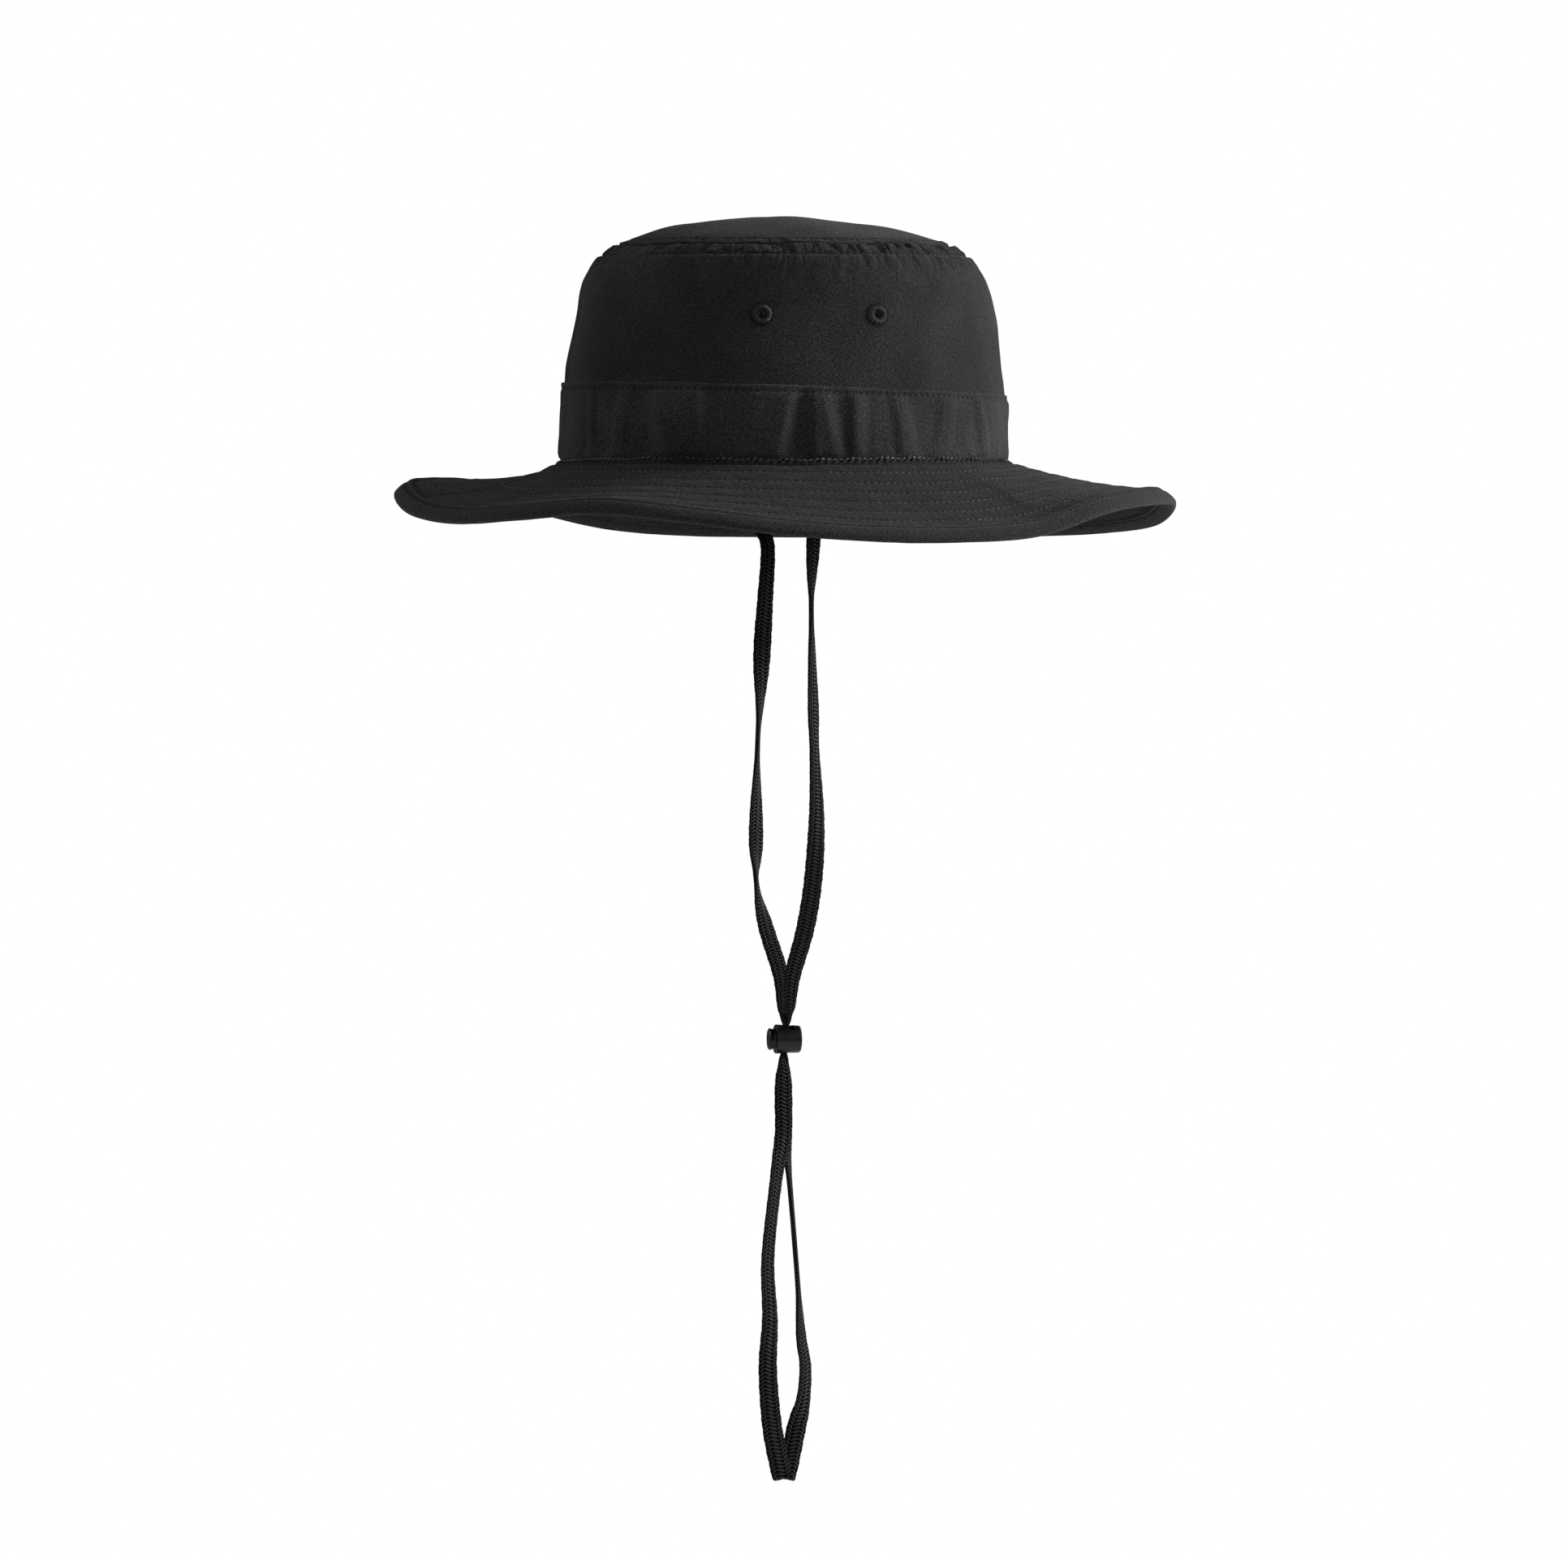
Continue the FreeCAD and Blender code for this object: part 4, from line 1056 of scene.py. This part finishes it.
def make_inside():
    """The sweatband with its stitches, the seam tapes and the label."""
    theta = round_the_head(720)
    low, high = box("sweatband")
    z = np.linspace(low[2], high[2], 44)
    u, v = theta[:, None] / math.tau, (z[None, :] - low[2]) / (high[2] - low[2])
    a = np.full_like(z, high[0])
    lift = noise(u, v, 60, 2, 51) * 0.22 * np.sin(math.pi * v) + noise(u, v, 150, 3, 52) * 0.12
    lift = lift - 0.35 * bump(z[None, :], high[2] - 3, 0.8) - 0.35 * bump(z[None, :], low[2] + 3, 0.8)
    grid = raise_grid(oval_grid(theta, a, z), lift - 0.25, True)
    band = cloth("sweatband_tape", grid, LOOKS["sweatband_cloth"], SWEATBAND, closed=True)
    dress(band, "hat", "sweatband_cloth", "sweatband")
    inward = -normals_of(grid, True)
    lines = (nearest(z, low[2] + 3), nearest(z, high[2] - 3))
    rows = [closed_row(grid + inward * SWEATBAND, inward, line) for line in lines]
    sew("stitches_sweatband", rows, SEWING_THREAD, "sweatband_cloth", radius=0.24, height=0.2, seed=9)
    for node in ("tip_seam_tape", "band_seam_tape"):
        make_seam_tape(node, theta)
    make_label()


def make_seam_tape(node, theta):
    """A tape that lies inside the crown, over a seam."""
    low, high = box(node)
    wall_a, wall_z = wall_profile(np.linspace(0, 1, 300))
    if node == "tip_seam_tape":
        share = 1 - np.linspace(0.012, 0.13, 14)
        keep = wall_z > low[2] + 1.0
        a = np.concatenate([wall_a[keep], TIP_HALF_LENGTH * share])
        z = np.concatenate([wall_z[keep], dome(share)])
    else:
        keep = (wall_z > low[2]) & (wall_z < high[2])
        a, z = wall_a[keep], wall_z[keep]
    u = theta[:, None] / math.tau
    v = np.linspace(0, 1, len(z))[None, :]
    lift = -1.7 + noise(u, v, 110, 3, 61) * 0.18
    grid = raise_grid(oval_grid(theta, a, z), lift, True)
    tape = cloth(node + "_cloth", grid, LOOKS["seam_tape"], thickness=0.4, closed=True)
    dress(tape, "hat", "seam_tape", node)


def make_label():
    """A blank satin label sewn to the sweatband at the back."""
    low, high = box("size_label")
    half = abs(high[1]) / (abs(low[0]) * OVAL)
    theta = math.pi + np.linspace(-half, half, 60)
    z = np.linspace(low[2], high[2], 40)
    a = np.full_like(z, abs(low[0]) - 0.35)
    u, v = np.linspace(0, 1, 60)[:, None], np.linspace(0, 1, 40)[None, :]
    curl = 0.25 * noise(u, v, 4, 3, 71) + 0.4 * (1 - smoothstep(v / 0.25))
    grid = raise_grid(oval_grid(theta, a, z), -0.1 - np.abs(curl) * 0.6, False)
    label = cloth("size_label_satin", grid, LOOKS["label_satin"], thickness=0.2)
    dress(label, "hat", "label_satin", "size_label")


# ---------------------------------------------------------------- chin cord

CORD_STEP = 0.9
CORD_BEND = 12.0                                   # the cord bends over this length as it swings
# Where the cord hangs: x, y, z, width, thickness and twist in degrees.
CORD_ROOT = [(0, 86.6, CORD_END_TOP_Z, 8.3, 1.2, 0), (0, 86.6, 6, 8.3, 1.2, 0), (0, 86.6, -2.6, 8.3, 1.25, 0)]
CORD_RIGHT = [
    (0.0, -86.6, -2.6, 8.3, 1.25, 0), (-0.4, -86.6, -10, 8.3, 1.5, 3), (-2.0, -86.1, -20, 8.3, 1.9, 12),
    (-5.2, -84.9, -30, 8.3, 2.2, 25), (-7.7, -83.3, -39, 8.3, 2.2, 32), (-5.6, -79.3, -64, 8.3, 2.2, 22),
    (-3.6, -75.4, -85, 8.3, 2.2, 6), (-1.3, -69.3, -111, 8.2, 2.2, 61), (0.7, -63.9, -131, 8.2, 2.2, 78),
    (3.7, -51.2, -171, 8.2, 2.2, 32), (5.4, -41.0, -192, 8.2, 2.2, 78), (3.2, -28.2, -213, 8.2, 2.2, 22),
    (-0.9, -13.0, -235, 7.6, 2.2, 6), (0.3, -2.6, -248.6, 5.0, 2.6, 0), (0.75, 0.6, -252, 3.2, 2.8, 0),
    (0.6, 2.2, -255.6, 2.1, 3.3, 0), (0.23, 1.7, -258, 1.2, 3.2, 0), (0.23, 0.6, -262, 1.2, 3.2, 0),
]
CORD_LEFT = [
    (0.0, 86.6, -2.6, 8.3, 1.25, 0), (0.4, 86.6, -10, 8.3, 1.5, 10), (1.4, 86.1, -20, 8.3, 2.2, 26),
    (1.8, 83.2, -40, 8.3, 2.2, 36), (2.0, 81.0, -53, 8.3, 2.2, 55), (1.8, 78.6, -67, 8.2, 2.2, 79),
    (0.7, 74.1, -88, 8.2, 2.2, 64), (-1.2, 67.5, -114, 8.2, 2.2, 48), (-2.4, 63.6, -132, 8.2, 2.2, 54),
    (-5.0, 54.8, -162, 8.4, 2.2, 29), (-6.1, 41.0, -190, 8.5, 2.2, -4), (-5.0, 27.0, -213, 8.5, 2.2, -6),
    (-1.6, 13.0, -235, 7.6, 2.2, 0), (-1.7, 6.2, -248.6, 5.0, 2.6, 0), (-1.6, 4.6, -252, 3.2, 2.8, 0),
    (-1.4, 3.0, -255.6, 2.1, 3.3, 0), (-1.03, 1.7, -258, 1.2, 3.2, 0), (-1.03, 0.6, -262, 1.2, 3.2, 0),
]
CORD_LOOP = [
    (0.23, -0.3, -265, 1.2, 3.2, 0), (0.23, -1.6, -270, 1.2, 3.2, 0), (0.6, -2.1, -272.4, 2.2, 3.2, 0),
    (0.6, -1.7, -275, 3.6, 2.6, 0), (0.3, -0.6, -279, 6.3, 2.5, 0), (0.5, 0.7, -284, 7.7, 2.3, 0),
    (0.85, 2.6, -292, 8.1, 2.2, 0), (1.15, 4.2, -308, 8.1, 2.2, 5), (4.3, 5.0, -326, 8.3, 2.2, 40),
    (8.4, 5.0, -364, 8.3, 2.2, 39), (7.5, 5.0, -392, 8.3, 2.2, 24), (8.4, 4.6, -415, 8.6, 2.2, 0),
    (6.3, 4.0, -441, 9.3, 2.2, 0), (1.9, 2.2, -462, 9.2, 1.8, 0), (0.0, 0.0, -464.6, 9.2, 1.5, 0),
    (-1.9, -2.2, -462, 9.2, 1.8, 0), (-6.5, -4.0, -442, 9.0, 2.2, 0), (-9.8, -4.4, -429, 8.3, 2.2, 33),
    (-10.8, -4.8, -414, 8.3, 2.2, 45), (-8.9, -5.2, -400, 8.3, 2.2, 52), (-7.1, -5.6, -372, 8.3, 2.2, 79),
    (-3.45, -6.4, -326, 8.2, 2.2, 71), (-1.55, -6.4, -308, 7.8, 2.2, 26), (-0.9, -5.6, -292, 8.1, 2.2, 0),
    (-0.9, -5.7, -284, 7.6, 2.3, 0), (-0.9, -5.4, -279, 6.2, 2.5, 0), (-1.3, -4.3, -275, 3.6, 2.6, 0),
    (-1.4, -3.1, -272.4, 2.2, 3.2, 0), (-1.03, -1.6, -270, 1.2, 3.2, 0), (-1.03, -0.3, -265, 1.2, 3.2, 0),
]


def eased(rows, step):
    """Rows of numbers on a smooth curve through the given ones, about one step of length apart."""
    rows = np.array(rows, float)
    ends = np.concatenate([rows[:1], rows, rows[-1:]])
    out = []
    for i in range(len(rows) - 1):
        a, b, c, d = ends[i:i + 4]
        count = max(2, int(np.linalg.norm(c[:3] - b[:3]) / step))
        for t in np.arange(count) / count:
            out.append(through(a, b, c, d, t))
    return np.array(out + [rows[-1]])


def ribbon(name, rows, start_v=0.0):
    """A flat tubular braid along a path, with softly rounded edges."""
    rows = eased(rows, CORD_STEP)
    centre = rows[:, :3]
    tangent = unit(np.gradient(centre, axis=0))
    twist = np.radians(rows[:, 5])
    across = np.stack([np.cos(twist), np.sin(twist), np.zeros(len(rows))], 1)
    across = unit(across - tangent * (across * tangent).sum(1, keepdims=True))
    face = np.cross(tangent, across)
    walked = length_along(centre) / 10 + start_v
    around = round_the_head(32)
    flat = rounded(np.cos(around), 0.8)
    round_side = rounded(np.sin(around), 0.62)
    ribs = 1 + 0.10 * np.abs(np.sin(6 * around))
    wave = 1 + 0.02 * np.sin(walked * 21)[:, None] + 0.02 * np.sin(walked * 8.3 + 1)[:, None]
    w = rows[:, 3:4] / 2 * flat[None, :] * wave
    t = rows[:, 4:5] / 2 * (round_side * ribs)[None, :]
    grid = centre[:, None] + across[:, None] * w[..., None] + face[:, None] * t[..., None]
    n, m = grid.shape[:2]
    grid = np.concatenate([grid, grid[:, :1]], 1)
    quads, places = grid_quads(n, m + 1, False)
    u = np.linspace(0, 2, m + 1)
    uvs = np.stack([u[places[:, :, 1]], walked[places[:, :, 0]]], -1)
    return mesh_object(name, grid.reshape(-1, 3), quads[:, ::-1], uvs[:, ::-1], LOOKS["cord_braid"])


def make_cord():
    """Both strands, each with its sewn-in end, and the loop below the lock."""
    for side, word, strand in ((1, "left", CORD_LEFT), (-1, "right", CORD_RIGHT)):
        rows = eased(strand, CORD_STEP)
        root = np.array(CORD_ROOT[:-1]) * (1, side, 1, 1, 1, 1)
        split = nearest(rows[:, 2], CORD_TOP_Z - CORD_BEND)
        upper = ribbon("cord_end_braid_" + word, np.concatenate([root, rows[:split + 1]]))
        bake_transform(upper)
        dress(upper, None, "cord_braid", "cord_end_" + word)
        hanging = ribbon("cord_braid_" + word, rows[split:], 3.0)
        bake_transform(hanging)
        dress(hanging, None, "cord_braid", "chin_cord")
    loop = ribbon("cord_braid_loop", CORD_LOOP)
    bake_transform(loop)
    dress(loop, None, "cord_braid", "chin_cord")


# ---------------------------------------------------------------- cord lock


def make_lock():
    """The barrel and the plunger are the CAD's own, with the finish of moulded plastic."""
    for node, look in (("lock_barrel", "lock_plastic"), ("lock_plunger", "button_plastic")):
        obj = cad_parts[node]
        obj.data.materials.clear()
        obj.data.materials.append(LOOKS[look])


SPRING_COILS = 2.5
SPRING_WIRE_R = 0.22


def make_spring():
    """The coil inside the lock, wound to fill the CAD spring's box."""
    low, high = box("lock_spring")
    centre = (low + high) / 2
    coil_r = (high[1] - low[1]) / 2 - SPRING_WIRE_R
    share = np.linspace(0, 1, 180)
    turn = share * math.tau * SPRING_COILS
    x = low[0] + SPRING_WIRE_R + (high[0] - low[0] - 2 * SPRING_WIRE_R) * share
    outward = np.stack([0 * turn, np.cos(turn), np.sin(turn)], 1)
    path = np.stack([x, x * 0 + centre[1], x * 0 + centre[2]], 1) + outward * coil_r
    along = np.array([1.0, 0, 0])
    around = np.linspace(0, math.tau, 13)
    grid = path[:, None] + SPRING_WIRE_R * (
        np.cos(around)[None, :, None] * outward[:, None] + np.sin(around)[None, :, None] * along
    )
    quads, places = grid_quads(*grid.shape[:2], False)
    coil = mesh_object("lock_spring_coil", grid.reshape(-1, 3), quads, places / 10.0, LOOKS["spring_steel"])
    dress(coil, "lock", "spring_steel", "lock_spring")
    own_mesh(coil)


# ---------------------------------------------------------------- stage

VIEW_AZIMUTH = math.radians(169.6)
VIEW_BACK = Vector((math.sin(VIEW_AZIMUTH), -math.cos(VIEW_AZIMUTH), 0))
VIEW_RIGHT = Vector((math.cos(VIEW_AZIMUTH), math.sin(VIEW_AZIMUTH), 0))
VIEW_UP = Vector((0, 0, 1))
VIEW_HEIGHT = -0.1472
VIEW_WIDTH = 0.718
VIEW_DISTANCE = 12.0


def make_camera():
    camera = bpy.data.objects.new("camera", bpy.data.cameras.new("camera"))
    camera.data.sensor_width = 36
    camera.data.lens = 36 * VIEW_DISTANCE / VIEW_WIDTH
    camera.data.clip_end = 60
    camera.location = VIEW_BACK * VIEW_DISTANCE + VIEW_UP * VIEW_HEIGHT
    camera.rotation_euler = (-VIEW_BACK).to_track_quat("-Z", "Y").to_euler()
    bpy.context.scene.collection.objects.link(camera)
    bpy.context.scene.camera = camera


def soft_light(name, right, back, up, size, watts):
    """A square soft box placed as seen from the camera, aimed at the crown."""
    lamp = bpy.data.lights.new(name, "AREA")
    lamp.shape = "SQUARE"
    lamp.size = size
    lamp.energy = watts
    obj = bpy.data.objects.new(name, lamp)
    obj.location = VIEW_RIGHT * right + VIEW_BACK * back + VIEW_UP * up
    aim = Vector((0, 0, 0.03)) - obj.location
    obj.rotation_euler = aim.to_track_quat("-Z", "Y").to_euler()
    bpy.context.scene.collection.objects.link(obj)


def make_world(ambient):
    """White behind the hat, and a softer light from all round."""
    world = bpy.data.worlds.new("studio")
    world.use_nodes = True
    bpy.context.scene.world = world
    tree = world.node_tree
    glow = tree.nodes["Background"]
    glow.inputs["Color"].default_value = (1, 1, 1, 1)
    rays = tree.nodes.new("ShaderNodeLightPath")
    strength = tree.nodes.new("ShaderNodeMapRange")
    strength.inputs["To Min"].default_value = ambient
    strength.inputs["To Max"].default_value = 1.0
    tree.links.new(rays.outputs["Is Camera Ray"], strength.inputs["Value"])
    tree.links.new(strength.outputs[0], glow.inputs["Strength"])


def make_floor():
    """A pale floor just below the cord's loop."""
    look = Look("floor_paper")
    fibre = look.noise(look.place(), (40, 40, 40), 2.0)
    seen = look.node("ShaderNodeLightPath").outputs["Is Camera Ray"]
    look.set(
        Base_Color=look.grey(look.ramp(fibre, 0.3, 0.7, 0.88, 0.9), (1, 1, 1)), Roughness=0.9,
        Emission_Color=(1, 1, 1, 1), Emission_Strength=look.ramp(seen, 0, 1, 0.1, 0.75),
    )
    below = (0, 0, cad_low.z - 0.06)
    bpy.ops.mesh.primitive_circle_add(vertices=128, radius=0.9, fill_type="NGON", location=below)
    floor = bpy.context.object
    floor.name = "floor"
    floor.data.materials.append(look.material)


def main():
    make_wall()
    make_tip()
    make_band()
    make_eyelets()
    make_brim()
    make_binding()
    make_inside()
    make_cord()
    make_lock()
    make_spring()
    make_camera()
    make_world(0.1)
    soft_light("key", 1.65, 0.05, 0.45, 0.7, 36)
    soft_light("top", 0.1, 0.4, 1.7, 1.0, 2.3)
    soft_light("side", 1.3, 1.1, 0.3, 0.6, 3)
    soft_light("fill", -0.9, 1.5, 0.4, 1.0, 5.8)
    soft_light("rim", -1.5, -0.5, 0.5, 0.8, 3)
    soft_light("behind", 1.0, -1.4, 0.25, 0.7, 4)
    make_floor()
    bpy.context.scene.view_settings.view_transform = "Standard"


main()
